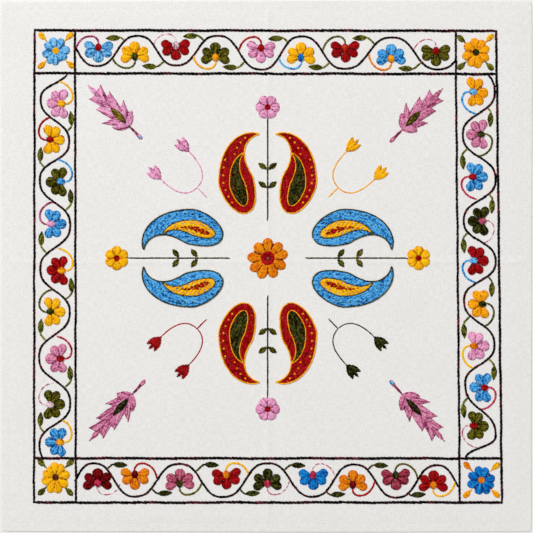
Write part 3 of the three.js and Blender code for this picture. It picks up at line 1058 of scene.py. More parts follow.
    def seams(
        self, silk: Silk, at: Place, turns: Array, start: float, end: float,
        warp: Warp | None = None, half_width: float = 0.4,
    ) -> None:
        """Lay the seams between a flower's petals: strands darkened by painted shade, two stitches one after
        the other in each.

        Args:
            silk: The thread.
            at: The flower's middle.
            turns: The seams' directions in degrees.
            start: How far from the middle they start.
            end: How far from it they end.
            warp: A function that carries flat places to where they lie.
            half_width: Half of a strand's width.
        """
        facing = np.stack([np.cos(np.radians(turns)), np.sin(np.radians(turns))], -1)
        middle = start + (end - start) * 0.52
        # Each seam's strands are darkened by painted shade.
        for near, far in ((start, middle), (middle + 0.2, end)):
            ends = np.array(at) + facing * near, np.array(at) + facing * far
            self.straight(silk, *ends, half_width, lift=1.1, warp=warp, loose=0.05, shade=0.5)

    def pieces(self, name: str, slot: str = "silk") -> list[Object]:
        """Make one piece of each silk's stitches, and let it ride with the cloth.

        Args:
            name: What the pieces are called, before the silk's own name.
            slot: Not used.

        Returns:
            The pieces.
        """
        made = []
        for silk, parts in self.sewn.items():
            mesh = Stitches.joined(parts).mesh(f"{name}_{silk.name.lower()}")
            piece = dressed(mesh, SilkFloss(silk))
            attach(piece, BODY)
            made.append(piece)
        return made


@dataclass(frozen=True)
class Embroidery:
    """A part of the work that has a needle of its own. title names its pieces, before the silk's name."""

    title: ClassVar[str]
    seed: ClassVar[int]

    def sew(self, needle: Needle) -> None:
        """Sew the part's stitches with its needle."""
        raise NotImplementedError

    def build(self, cloth: MuslinSquare) -> list[Object]:
        """Sew the part and make its pieces.

        Args:
            cloth: The cloth that it is sewn to.

        Returns:
            The pieces, one for each silk.
        """
        needle = Needle(cloth, self.seed)
        self.sew(needle)
        return needle.pieces(self.title)


@dataclass(frozen=True)
class BorderLines(Embroidery):
    """The border's eight stitched lines, which cross at the corner squares: rows of start, end and width."""

    title = "border_lines"
    seed = 11
    waver: float = 0.16
    lines: tuple[tuple[Place, Place, float], ...] = (
        ((-200.8, 203.4), (198.8, 203.0), 2.9),
        ((-200.8, 166.4), (199.2, 165.8), 2.9),
        ((-201.2, -165.1), (203.4, -165.3), 2.9),
        ((-201.2, -203.3), (203.8, -203.2), 2.9),
        ((-200.2, -204.3), (-199.8, 204.4), 2.4),
        ((-164.2, -204.3), (-164.9, 204.4), 2.4),
        ((166.5, -204.2), (162.8, 204.1), 2.4),
        ((202.8, -204.2), (197.8, 204.1), 2.6),
    )

    def sew(self, needle: Needle) -> None:
        """Sew the lines in black with flecks of maroon.

        Each line wavers across by two sines of its own phase.

        Args:
            needle: The needle.
        """
        for start, end, width in self.lines:
            share = np.linspace(0, 1, 140)[:, None]
            way = np.array(end) - np.array(start)
            across = np.array([-way[1], way[0]]) / np.linalg.norm(way)
            phase = needle.rng.uniform(0, 6.28, 2)
            wave = np.sin(share * 31 + phase[0]) + 0.7 * np.sin(share * 73 + phase[1])
            path = np.array(start) + share * way + across * wave * self.waver
            needle.rope(
                Silk.BLACK, path, width, step=3.3, reach=6.8, fleck=Silk.MAROON, flecks=0.12, loft=0.3
            )


@dataclass(frozen=True)
class SidePlan:
    """One side of the border: where its pattern lies and how its vine and flowers are spaced.

    The pattern runs along u with w to its left, turned by turn, with u = 0 at middle. lean is how far w
    drifts over 100 mm. bends are the vine's bends and swings how far each goes to the side, first to the
    right. flowers are the flowers inside the bends, drops how far each sits toward the open side of its
    bend, and silks the thread of each flower's petals, bud and tendril.
    """

    turn: float
    middle: Place
    lean: float
    start_u: float
    end_u: float
    lead_in: float
    lead_out: float
    bends: tuple[float, ...]
    swings: tuple[float, ...]
    flowers: tuple[float, ...]
    drops: tuple[float, ...]
    silks: tuple[tuple[Silk, Silk, Silk], ...]
    leaf: Silk = Silk.FERN
    roundness: float = 1.3

    def on_cloth(self, points: Array) -> Array:
        """Carry places in u and w to the cloth: w drifts with u, then both turn and move."""
        leaning = np.stack([points[..., 0], points[..., 1] + self.lean * points[..., 0] / 100], -1)
        return placed(leaning, self.turn, self.middle)

    def vine_w(self, u: Array) -> Array:
        """Work out the vine's place across the side.

        Args:
            u: Places along the side.

        Returns:
            Between two bends, their mean plus half of their difference times sin(k cos(pi share)) / sin k,
            with k the roundness.
        """
        knots = np.array([self.bends[0] - self.lead_in, *self.bends, self.bends[-1] + self.lead_out])
        swings = np.array([self.swings[0], *self.swings, self.swings[-1]]) * (-1.0) ** np.arange(len(knots))
        span = np.clip(np.searchsorted(knots, u, "right") - 1, 0, len(knots) - 2)
        share = (u - knots[span]) / (knots[span + 1] - knots[span])
        curve = np.sin(self.roundness * np.cos(np.pi * share)) / np.sin(self.roundness)
        return (swings[span] + swings[span + 1]) / 2 + (swings[span] - swings[span + 1]) / 2 * curve


TOP_SIDE = SidePlan(
    turn=0, middle=(0, 184.8), lean=-0.75, start_u=-165, end_u=163, lead_in=32, lead_out=38,
    bends=(-146.9, -110.6, -78.1, -41.8, -4.7, 30.2, 67.1, 108.3, 147.8),
    swings=(13.3, 13.0, 12.2, 13.6, 15.2, 13.7, 14.0, 13.3, 14.0),
    flowers=(-144.8, -113.4, -78.2, -44.0, -4.8, 29.6, 67.6, 107.1, 145.8),
    drops=(-1.4, 0.8, 0.8, 1.1, -0.8, 0.5, 0.2, 1.1, -2.0),
    silks=(
        (Silk.SKY_BLUE, Silk.RED, Silk.DEEP_PINK),
        (Silk.YELLOW, Silk.GREEN, Silk.OLIVE),
        (Silk.RED, Silk.PALE_PINK, Silk.PALE_PINK),
        (Silk.OLIVE, Silk.GOLD, Silk.GOLD),
        (Silk.PINK, Silk.RED, Silk.RED),
        (Silk.YELLOW, Silk.BLUE, Silk.LIGHT_BLUE),
        (Silk.RED, Silk.ORANGE_RED, Silk.OLIVE),
        (Silk.LIGHT_BLUE, Silk.GOLD, Silk.ORANGE),
        (Silk.OLIVE, Silk.RED, Silk.PALE_PINK),
    ),
)
LEFT_SIDE = SidePlan(
    turn=-90, middle=(-182.5, 0), lean=0, start_u=-165.2, end_u=164.6, lead_in=27, lead_out=36,
    bends=(-144.1, -107.2, -74.6, -35.2, 2.2, 39.8, 78, 118, 154.4),
    swings=(12.0, 12.6, 12.7, 13.4, 12.3, 13.0, 13.3, 13.5, 13.1),
    flowers=(-140.2, -109.3, -73.1, -36.7, 3.4, 38.8, 79.3, 119.0, 151.2),
    drops=(1.8, -0.2, 1.4, -1.0, 2.0, -0.5, 1.0, -0.2, 0.6),
    silks=(
        (Silk.PINK, Silk.YELLOW, Silk.YELLOW),
        (Silk.YELLOW, Silk.RED, Silk.RED),
        (Silk.OLIVE, Silk.LIGHT_BLUE, Silk.LIGHT_BLUE),
        (Silk.LIGHT_BLUE, Silk.PINK, Silk.DEEP_PINK),
        (Silk.RED, Silk.GOLD, Silk.YELLOW),
        (Silk.YELLOW, Silk.GREEN, Silk.OLIVE),
        (Silk.ROSE_PINK, Silk.RED, Silk.ROSE),
        (Silk.OLIVE, Silk.PALE_PINK, Silk.PALE_PINK),
        (Silk.LIGHT_BLUE, Silk.GOLD, Silk.YELLOW),
    ),
)
BOTTOM_SIDE = SidePlan(
    turn=180, middle=(0, -184.2), lean=0.2, start_u=-165.6, end_u=165, lead_in=30, lead_out=31,
    bends=(-147, -111.9, -75.5, -39.8, -1, 37.6, 75.2, 113.4, 149),
    swings=(12.8, 15.0, 13.6, 14.1, 14.8, 14.3, 14.4, 13.7, 15.0),
    flowers=(-143.5, -111.2, -74.2, -40.0, -0.8, 34.5, 74.8, 113.3, 145.4),
    drops=(0.2, 0.3, -0.2, 0.5, -1.3, 1.1, -1.6, 1.3, -2.0),
    silks=(
        (Silk.RED, Silk.ORANGE, Silk.YELLOW),
        (Silk.MAUVE, Silk.DARK_GREEN, Silk.OLIVE),
        (Silk.ORANGE, Silk.DARK_RED, Silk.RED),
        (Silk.BLUE, Silk.ROSE, Silk.PALE_PINK),
        (Silk.GREEN, Silk.ROSE, Silk.PALE_PINK),
        (Silk.RED, Silk.ORANGE, Silk.YELLOW),
        (Silk.DUSTY_PINK, Silk.GREEN, Silk.OLIVE),
        (Silk.ORANGE, Silk.DARK_RED, Silk.RED),
        (Silk.DARK_RED, Silk.ROSE, Silk.PALE_PINK),
    ),
    leaf=Silk.GREEN,
)
RIGHT_SIDE = SidePlan(
    turn=90, middle=(183, 0), lean=0.9, start_u=-164.8, end_u=166, lead_in=21, lead_out=44,
    bends=(-145.5, -101.4, -67.6, -29.4, 4.4, 39.5, 75.2, 113.4, 150.3),
    swings=(13.1, 12.8, 12.7, 13.2, 14.4, 12.8, 15.0, 12.9, 14.9),
    flowers=(-137.1, -104.3, -68.4, -32.4, 5.1, 39.2, 77.2, 113.8, 150.4),
    drops=(1.9, -0.3, 0.9, -1.5, 0.5, -0.7, 0.7, -1.4, -0.4),
    silks=(
        (Silk.OLIVE, Silk.RED, Silk.PALE_PINK),
        (Silk.LIGHT_BLUE, Silk.RED, Silk.ROSE),
        (Silk.PINK, Silk.ORANGE, Silk.YELLOW),
        (Silk.GOLD, Silk.GREEN, Silk.OLIVE),
        (Silk.RED, Silk.SKY_BLUE, Silk.LIGHT_BLUE),
        (Silk.GREEN, Silk.DUSTY_PINK, Silk.PALE_PINK),
        (Silk.LIGHT_BLUE, Silk.RED, Silk.ROSE),
        (Silk.ROSE_PINK, Silk.DARK_GREEN, Silk.OLIVE),
        (Silk.GOLD, Silk.SKY_BLUE, Silk.LIGHT_BLUE),
    ),
)


@dataclass(frozen=True)
class BorderVines:
    """The flowering vine of each side of the border.

    Places are given about a flower's middle, with x along the side and y toward the open side of its bend.
    """

    vine_width: float = 2.55
    bud_at: Place = (0.0, 3.9)
    bud_length: float = 7.6
    bud_width: float = 5.6
    bud_lift: float = 0.55
    petal_start: float = 1.8
    seam_start: float = 2.6
    seam_end: float = 8.6
    petals: tuple[tuple[float, float, float], ...] = (
        (168, 12.8, 7.2),
        (212, 13.0, 7.4),
        (270, 12.9, 8.6),
        (328, 13.0, 7.4),
        (372, 12.8, 7.2),
    )
    leaf_base: Place = (19.1, 13.0)
    leaf_tip: Place = (6.1, 11.8)
    leaf_width: float = 5.0
    tendril_x: float = -19.0
    sides: tuple[SidePlan, ...] = (TOP_SIDE, LEFT_SIDE, BOTTOM_SIDE, RIGHT_SIDE)

    def sew_flower(
        self, needle: Needle, to_cloth: Warp, silks: tuple[Silk, Silk, Silk], vine_y: float
    ) -> None:
        """Sew one flower with its bud and tendril.

        Args:
            needle: The needle.
            to_cloth: Carries places about the flower's middle to the cloth.
            silks: The threads of the petals, the bud and the tendril.
            vine_y: Where the vine passes the tendril's start.
        """
        petals, bud, tendril = silks
        for angle, reach, width in self.petals:
            turn = angle + needle.rng.normal(0, 2)
            long = reach * needle.rng.uniform(0.97, 1.03)
            wide = width * needle.rng.uniform(0.95, 1.05)
            shape = placed(petal(self.petal_start, long, wide, base=0.34), turn, self.bud_at)
            needle.fill(petals, shape, turn, longest=11, warp=to_cloth, loft=1.1)
        # Seams of painted shade between the petals.
        angles = np.array(self.petals)[:, 0]
        turns = (angles[1:] + angles[:-1]) / 2
        needle.seams(petals, self.bud_at, turns, self.seam_start, self.seam_end, to_cloth)
        bud_x, bud_y = self.bud_at
        shape = oval(self.bud_at, self.bud_length, self.bud_width)
        needle.fill(bud, shape, angle=90, longest=8, lift=self.bud_lift, warp=to_cloth, loft=1.2)
        start = (self.tendril_x, float(np.clip(vine_y, 0.5, 5)))
        curve = bezier(start, (-17.4, bud_y + 11.2), (0.4, bud_y + 14.2), (bud_x + 0.4, bud_y + 3.0))
        if tendril is Silk.PALE_PINK:
            needle.rope(
                tendril, to_cloth(curve), width=1.5, step=1.9, reach=2.6, fleck=Silk.DUSTY_PINK, flecks=0.55
            )
        else:
            needle.rope(tendril, to_cloth(curve), width=2.15, step=2.3, reach=4.6, loft=0.2)

    def joint(self, vine_y: Callable[[Array], Array]) -> Place:
        """Find where a leaf's stalk, drawn from its base at 45 degrees, meets the vine.

        Args:
            vine_y: The vine's place across the side, by the place along it.

        Returns:
            The place along the stalk's line that lies nearest to the vine.
        """
        x = np.linspace(self.leaf_base[0] + 1, self.leaf_base[0] + 7, 61)
        y = self.leaf_base[1] - 0.9 * (x - self.leaf_base[0])
        nearest = int(np.argmin(np.abs(vine_y(x) - y)))
        return float(x[nearest]), float(y[nearest])

    def sew_leaf(self, needle: Needle, silk: Silk, to_cloth: Warp, joint: Place) -> None:
        """Sew one leaf with its midrib and the stalk that joins it to the vine.

        Args:
            needle: The needle.
            silk: The thread.
            to_cloth: Carries places about the flower's middle to the cloth.
            joint: Where the stalk meets the vine.
        """
        base, tip = np.array(self.leaf_base), np.array(self.leaf_tip)
        turn = heading_of(base, tip)
        shape = lens(base, tip, self.leaf_width, fullest=0.45)
        needle.fill(silk, shape, turn + 24, longest=6, warp=to_cloth, loft=0.5, mixed=(Silk.GREEN, 0.2))
        rib = base + (tip - base) * np.array([[0.1], [0.5], [0.92]])
        needle.rope(Silk.DARK_GREEN, to_cloth(rib), width=0.7, step=3, reach=4, lift=0.2, loft=0.5)
        stalk = bezier(tuple(base - (1.4, 0.1)), (base[0] + 0.8, base[1] + 0.5), joint)
        needle.rope(silk, to_cloth(stalk), width=2.2, step=2, reach=3.6, loft=0.2)

    def build(self, cloth: MuslinSquare) -> list[Object]:
        """Sew the vines and their flowers and leaves.

        Args:
            cloth: The cloth that they are sewn to.

        Returns:
            The pieces, one for each silk.
        """
        vines, blooms = Needle(cloth, seed=21), Needle(cloth, seed=22)
        for side in self.sides:
            u = np.linspace(side.start_u, side.end_u, 330)
            path = side.on_cloth(np.stack([u, side.vine_w(u)], -1))
            vines.rope(
                Silk.BLACK, path, self.vine_width, step=3.2, reach=6, fleck=Silk.MAROON, flecks=0.2,
                loft=0.25, slant=0.13,
            )
            for index, (along, drop, silks) in enumerate(zip(side.flowers, side.drops, side.silks)):
                flip = 1 if index % 2 == 0 else -1

                def to_cloth(
                    points: Array, at: Place = (along, drop), flip: int = flip, side: SidePlan = side
                ) -> Array:
                    """Carry places about a flower's middle to the cloth."""
                    moved = points + np.array(at)
                    return side.on_cloth(moved * np.array([1, flip]))

                def vine_y(
                    x: Array, at: Place = (along, drop), flip: int = flip, side: SidePlan = side
                ) -> Array:
                    """Give the vine's place across the side, about the flower's middle."""
                    return side.vine_w(at[0] + x) * flip - at[1]

                self.sew_flower(blooms, to_cloth, silks, float(vine_y(np.array([self.tendril_x]))[0]))
                if index < len(side.flowers) - 1:
                    self.sew_leaf(blooms, side.leaf, to_cloth, self.joint(vine_y))
        return vines.pieces("vine") + blooms.pieces("vine_flowers")


@dataclass(frozen=True)
class RoundFlower:
    """A flower seen face on, with a heart in its middle. petals holds each petal's angle and reach."""

    at: Place
    petals: tuple[Place, ...]
    heart: float
    petal_width: float
    silk: Silk
    middle: Silk
    base: float = 0.44
    widest: float = 0.63
    loft: float = 1.1
    spokes: int = 26
    heart_rise: float = 0.8

    def sew(self, needle: Needle, seams: Silk | None = None) -> None:
        """Sew the petals, the seams of painted shade between them and the heart.

        Args:
            needle: The needle.
            seams: The thread of the seams, if it isn't the petals' own. The seams are painted shade between
                the petals;
                in brown, as on the daisy, they are also the drawn line there.
        """
        for turn, reach in self.petals:
            width = self.petal_width * needle.rng.uniform(0.97, 1.04)
            shape = placed(petal(self.heart * 0.7, reach, width, self.base, self.widest), turn, self.at)
            needle.fill(self.silk, shape, turn, longest=12, loft=self.loft)
        turns = np.array([turn for turn, _ in self.petals])
        turns = turns + ((np.roll(turns, -1) - turns + 180) % 360 - 180) / 2
        needle.seams(seams or self.silk, self.at, turns, self.heart, self.petals[0][1] * 0.78)
        spokes = np.radians(np.arange(self.spokes) * 360 / self.spokes)
        facing = np.stack([np.cos(spokes), np.sin(spokes)], -1)
        start, end = (np.array(self.at) + facing * self.heart * share for share in (0.3, 1.0))
        half = np.pi * self.heart * 1.25 / self.spokes
        # The spokes get painted shade toward the heart's rim.
        padded = padding(end, 0.4)
        needle.straight(self.middle, start, end, half, self.heart_rise, 0.5, loose=0.05, padded=padded)
        needle.knot(self.middle, self.at, self.heart * 0.42, lift=0.5)


TOP_LEFT_FLOWER = RoundFlower(
    (-181.4, 185.7),
    (
        (106, 12), (60, 12), (4, 12.4), (-37, 11.6), (-64, 10), (-93, 12.6), (-122, 12.6), (-163, 12.3),
        (146, 11.6),
    ),
    3.3, 6.5, Silk.SKY_BLUE, Silk.YELLOW,
)
TOP_RIGHT_FLOWER = RoundFlower(
    (180.3, 184.3),
    (
        (97, 12.6), (58, 12.4), (19, 12.2), (-29, 12.8), (-57, 11), (-82, 13.8), (-114, 13.2), (-160, 12.4),
        (143, 12.2),
    ),
    3.3, 7.0, Silk.GOLD, Silk.DARK_GREEN,
)
BOTTOM_LEFT_FLOWER = RoundFlower(
    (-181.6, -181.4),
    (
        (96, 13), (62, 12.6), (13, 12.6), (-38, 13.2), (-80, 14.4), (-112, 14.6), (-160, 12.8), (160, 11.8),
        (130, 11),
    ),
    3.3, 7.1, Silk.YELLOW, Silk.BROWN,
)
BOTTOM_RIGHT_FLOWER = RoundFlower(
    (185.0, -184.0),
    ((105, 12.4), (67, 11.8), (10, 12), (-29, 12.2), (-64, 13.2), (-104, 12.7), (-158, 12.9), (154, 12.4)),
    3.3, 6.7, Silk.BLUE, Silk.ORANGE,
)
MIDDLE_DAISY = RoundFlower(
    (1.1, 7.2),
    (
        (90, 17.4), (47.5, 17.5), (14, 17.9), (-28, 17.3), (-70, 17.9), (-111, 18.8), (-145, 18.3),
        (177, 17.7), (131, 16.5),
    ),
    6.9, 8.3, Silk.ORANGE, Silk.RED, 0.66,
)


@dataclass(frozen=True)
class CornerRosettes(Embroidery):
    """The round flowers of the corner squares, each with four leaves, from the diagonal at 45 degrees on."""

    title = "rosettes"
    seed = 31
    leaf_from: float = 11.4
    leaf_to: float = 21.6
    leaf_width: float = 4.6
    stalk_half_width: float = 0.5
    corners: tuple[tuple[RoundFlower, tuple[Silk, Silk, Silk, Silk]], ...] = (
        (TOP_LEFT_FLOWER, (Silk.YELLOW,) * 4),
        (TOP_RIGHT_FLOWER, (Silk.YELLOW, Silk.FERN, Silk.FERN, Silk.FERN)),
        (BOTTOM_LEFT_FLOWER, (Silk.FERN, Silk.FERN, Silk.OLIVE, Silk.FERN)),
        (BOTTOM_RIGHT_FLOWER, (Silk.YELLOW, Silk.ORANGE, Silk.GOLD, Silk.GOLD)),
    )

    def sew(self, needle: Needle) -> None:
        """Sew the four flowers and their leaves.

        Args:
            needle: The needle.
        """
        stalk = np.array([[self.leaf_from - 1, 0], [self.leaf_from + 2.5, 0]])
        leaf = petal(self.leaf_from, self.leaf_to, self.leaf_width, base=0.15, widest=0.6)
        for flower, leaves in self.corners:
            flower.sew(needle)
            for quarter, silk in enumerate(leaves):
                turn = 45 + 90 * quarter + needle.rng.normal(0, 1)
                ends = placed(stalk, turn, flower.at)
                needle.stitch(silk, ends, half_width=self.stalk_half_width)
                needle.fill(silk, placed(leaf, turn, flower.at), turn + 12, longest=7, loft=0.7)


@dataclass(frozen=True)
class Daisy(Embroidery):
    """The daisy at the middle of the field. knots are rows of thread, place, radius, turns and lift."""

    title = "daisy"
    seed = 41
    flower: RoundFlower = MIDDLE_DAISY
    knots: tuple[tuple[Silk, Place, float, int, float], ...] = (
        (Silk.DARK_RED, (0.1, -0.5), 3.2, 9, 0.6),
        (Silk.BROWN, (0.2, -0.8), 2.0, 6, 0.72),
        (Silk.MAUVE, (0.4, -0.5), 1.2, 6, 0.85),
    )

    def sew(self, needle: Needle) -> None:
        """Sew the daisy in orange with a red heart and a small rosy knot.

        Args:
            needle: The needle.
        """
        # Brown seams: the drawn line between the petals, darkened by painted shade.
        self.flower.sew(needle, seams=Silk.BROWN)
        x, y = self.flower.at
        for silk, (right, up), radius, turns, lift in self.knots:
            needle.knot(silk, (x + right, y + up), radius, turns, lift)


@dataclass(frozen=True)
class FeatherSprigs(Embroidery):
    """The feathery pink sprigs toward the field's corners.

    sprigs are rows of tip, turn, size, slimness and the threads of the feather and of its heart. A sprig is
    drawn along its axis from the tip. barbs are its left and right side's: each row is a notch and the tip
    of the barb behind it, and the shoulder closes the last one. streaks are rows of thread, sideways place
    and the shares of the barb's length where a strand over it starts and ends.
    """

    title = "sprigs"
    seed = 51
    sprigs: tuple[tuple[Place, float, float, float, Silk, Silk], ...] = (
        ((-154.2, 156.5), -44.8, 1.0, 1.0, Silk.PINK, Silk.MOSS),
        ((152.1, 153.6), -134.5, 0.98, 0.97, Silk.ROSE_PINK, Silk.OLIVE),
        ((-153, -150.7), 47.4, 1.08, 0.87, Silk.ROSE_PINK, Silk.DARK_GREEN),
        ((153.8, -151), 132, 1.07, 0.88, Silk.ROSE_PINK, Silk.GREEN),
    )
    barbs: tuple[tuple[tuple[Place, Place], ...], ...] = (
        (
            ((9.4, 1.2), (8.1, 8.0)),
            ((19.7, 3.2), (18.6, 9.2)),
            ((34.0, 6.0), (31.5, 12.0)),
            ((41.0, 7.9), (42.6, 10.6)),
        ),
        (
            ((10.8, 2.3), (9.5, 7.6)),
            ((21.5, 3.9), (20.6, 9.7)),
            ((35.6, 6.0), (32.3, 14.6)),
            ((39.9, 9.3), (41.2, 10.8)),
        ),
    )
    shoulder: tuple[Place, ...] = ((45.4, 9.6), (48.6, 6.9), (50.7, 3.4), (51.4, 0.2))
    streaks: tuple[tuple[Silk, float, float, float], ...] = (
        (Silk.DEEP_PINK, 1.3, 0.1, 0.62),
        (Silk.DEEP_PINK, 0.2, 0.3, 0.9),
        (Silk.PINK, 0.75, 0.2, 0.8),
        (Silk.DEEP_PINK, -0.9, 0.05, 0.6),
    )
    flecks: tuple[tuple[Silk, int], ...] = ((Silk.MAROON, 9), (Silk.ROSE, 7))
    mixed: tuple[Silk, float] = (Silk.DEEP_PINK, 0.1)
    tip_length: float = 14.0
    tip_width: float = 4.0
    body_share: float = 0.9
    barb_reach: float = 5.0
    last_reach: float = 2.0
    flecks_from: float = 9.0
    flecks_to: float = 46.0
    fleck_length: float = 1.3
    lens_from: float = 28.7
    lens_to: float = 46.6
    lens_width: float = 5.6
    lens_lift: float = 1.15
    stalk: Place = (49.5, 66)

    def sew(self, needle: Needle) -> None:
        """Sew the four sprigs.

        Args:
            needle: The needle.
        """
        for index, (tip, turn, size, slim, silk, core) in enumerate(self.sprigs):

            def to_cloth(
                points: Array, tip: tuple = tip, turn: float = turn, scale: Array = size * np.array([1, slim])
            ) -> Array:
                """Carry places along a sprig's axis to the cloth."""
                return placed(points * scale, turn, tip)

            self.sew_body(needle, to_cloth, silk)
            for side, barbs in zip((1, -1), self.barbs):
                for row in range(len(barbs)):
                    self.sew_barb(needle, to_cloth, silk, barbs, row, np.array([1, side]))
            self.sew_flecks(needle, to_cloth)
            self.sew_heart(needle, to_cloth, core)
            self.sew_stalk(needle, to_cloth, index)

    def sew_body(self, needle: Needle, to_cloth: Warp, silk: Silk) -> None:
        """Sew a sprig's pointed tip and its body, which runs a little inside the barbs' notches.

        Args:
            needle: The needle.
            to_cloth: Carries places along the axis to the cloth.
            silk: The thread.
        """
        tip = lens((0, 0), (self.tip_length, 0), self.tip_width, fullest=0.6)
        needle.fill(silk, tip, angle=0, longest=11, warp=to_cloth, loft=0.4, mixed=self.mixed)
        edge = np.array([(7, 1.4), *(notch for notch, _ in self.barbs[0]), *self.shoulder[1:]])
        inside = np.array([1, self.body_share])
        body = np.concatenate([[(3, 0.4)], edge * inside, edge[::-1] * inside * np.array([1, -1])])
        needle.fill(silk, body, angle=0, longest=11, warp=to_cloth, loft=0.5, mixed=self.mixed)

    def sew_barb(
        self, needle: Needle, to_cloth: Warp, silk: Silk, barbs: tuple[tuple[Place, Place], ...], row: int,
        mirror: Array,
    ) -> None:
        """Sew one barb with its streaks, its deep pink edge, its dark point and the crease at its notch, a
        deep pink strand darkened by painted shade.

        Args:
            needle: The needle.
            to_cloth: Carries places along the axis to the cloth.
            silk: The thread.
            barbs: The barbs of its side.
            row: Which of them it is.
            mirror: What its places are multiplied by: 1 and 1 on the left, 1 and -1 on the right.
        """
        last = row == len(barbs) - 1
        after = self.shoulder if last else (barbs[row + 1][0],)
        reach = self.last_reach if last else self.barb_reach
        notch = np.array(barbs[row][0])
        tip = np.array(barbs[row][1]) + needle.rng.normal(0, 0.3, 2)
        bulge = (tip + np.array(after[0])) / 2 + np.array([0.1, 0.25])
        foot = np.array([after[-1][0] + (0 if last else reach), 0.1])
        shape = np.array([(notch[0] + 1.5, 0.1), notch, tip, bulge, *after, foot]) * mirror
        root = np.array([after[0][0] + reach, 1.0]) * mirror
        end = tip * mirror
        needle.fill(
            silk, shape, heading_of(root, end), longest=13, warp=to_cloth, loft=0.8, mixed=self.mixed
        )
        way = end - root
        aside = np.array([-way[1], way[0]]) * 0.1
        for thread, offset, near, far in self.streaks:
            strand = np.array([root + way * near + aside * offset, root + way * far + aside * offset * 0.3])
            needle.stitch(thread, strand, half_width=0.34, lift=0.62, warp=to_cloth, loose=0.2)
        edge = np.array([tip, bulge, *after[:2]]) * mirror
        needle.rope(Silk.DEEP_PINK, to_cloth(edge), width=0.8, step=3.4, reach=3.2, lift=0.1, loft=0.25)
        spike = end + (root - end) * np.array([[0.45], [-0.02]])
        needle.stitch(silk, spike, half_width=0.55, lift=0.1, warp=to_cloth)
        point = end + (root - end) * np.array([[0.06], [-0.03]])
        needle.stitch(Silk.MAROON, point, half_width=0.34, lift=0.15, warp=to_cloth)
        # The crease at the notch: a deep pink strand, darkened by painted shade.
        crease = np.array([notch, notch + np.array([5.5, -notch[1] * 0.55])]) * mirror
        needle.stitch(Silk.DEEP_PINK, crease, half_width=0.4, lift=0.75, warp=to_cloth, shade=0.3)

    def sew_flecks(self, needle: Needle, to_cloth: Warp) -> None:
        """Scatter dark flecks over the barbs, between the two rows of notches.

        Args:
            needle: The needle.
            to_cloth: Carries places along the axis to the cloth.
        """
        count = sum(number for _, number in self.flecks)
        notches = np.array([notch for notch, _ in self.barbs[0]])
        run = self.flecks_to - self.flecks_from
        at = needle.rng.uniform(0, 1, (count, 2)) * np.array([run, 2]) + np.array([self.flecks_from, -1])
        grid = np.arange(self.flecks_from, self.flecks_to + 2)
        at[:, 1] *= np.interp(at[:, 0], grid, np.interp(grid, notches[:, 0], notches[:, 1]))
        way = needle.rng.normal(0, 0.35, (count, 1)) * np.array([[0, 1]]) + np.array([[self.fleck_length, 0]])
        first = 0
        for silk, number in self.flecks:
            part = slice(first, first + number)
            needle.straight(
                silk, at[part], (at + way)[part], 0.3, lift=0.12, warp=to_cloth, padded=self.on_top
            )
            first += number

    def sew_heart(self, needle: Needle, to_cloth: Warp, core: Silk) -> None:
        """Sew the dark lens in a sprig, with its outline and a tick at each end.

        Args:
            needle: The needle.
            to_cloth: Carries places along the axis to the cloth.
            core: The thread.
        """
        heart = lens((self.lens_from, 0), (self.lens_to, 0), self.lens_width)
        needle.fill(
            core, heart, angle=8, longest=12, lift=self.lens_lift, rise=0.72, warp=to_cloth, loft=0.55
        )
        closed = np.concatenate([heart, heart[:1]])
        needle.rope(Silk.BLACK, to_cloth(closed), width=0.6, step=2.4, reach=3, lift=self.lens_lift, loft=0.2)
        for end, way in ((heart[0], -1), (heart[12], 1)):
            tick = np.array([[end[0] - 0.9 * way, end[1]], [end[0] + 0.5 * way, end[1]]])
            needle.stitch(Silk.BLACK, tick, half_width=0.5, lift=1.3, warp=to_cloth)

    def on_top(self, places: Array) -> tuple[Array, Array]:
        """Give the loft of flecks that lie on the padded barbs, and no painted edge shade."""
        return np.full(places.shape[:-1], 0.75), np.zeros(places.shape[:-1])

    def sew_stalk(self, needle: Needle, to_cloth: Warp, index: int) -> None:
        """Sew a sprig's stalk: two ropes that part toward the end, with a touch of another silk between.

        Args:
            needle: The needle.
            to_cloth: Carries places along the axis to the cloth.
            index: Which sprig it is.
        """
        start, end = self.stalk
        shape = np.array([[start, -0.5], [end - 1, -1.7], [end + 0.2, 0], [end - 1, 1.7], [start, 0.5]])
        silk = Silk.PINK if index == 0 else Silk.ROSE_PINK
        needle.fill(silk, shape, angle=0, longest=9, rise=0.5, warp=to_cloth, pitch=0.6, loft=0.3)
        for side in (1, -1):
            path = bezier((start, 0.4 * side), ((start + end) / 2, 0.6 * side), (end - 0.6, 1.5 * side))
            needle.rope(Silk.DEEP_PINK, to_cloth(path), width=0.9, step=2, reach=4, lift=0.1)
        cap = np.array([[end, -1.4], [end, 1.4]])
        needle.stitch(Silk.DEEP_PINK, cap, half_width=0.5, warp=to_cloth)
        core = Silk.GREEN if index == 0 else Silk.MAROON
        streak = np.array([[start + 3.5, 0.1], [(start + end) / 2, -0.1], [end - 4, 0.1]])
        needle.stitch(core, streak, half_width=0.45, lift=0.75, warp=to_cloth)
        if index == 0:
            needle.knot(Silk.OLIVE, to_cloth(np.array([[start + 1, 0]]))[0], 0.9, lift=0.7)
        if index in (0, 3):
            needle.knot(Silk.SKY_BLUE, to_cloth(np.array([[end - 2, 0]]))[0], 1.4 + 0.15 * index, lift=0.7)


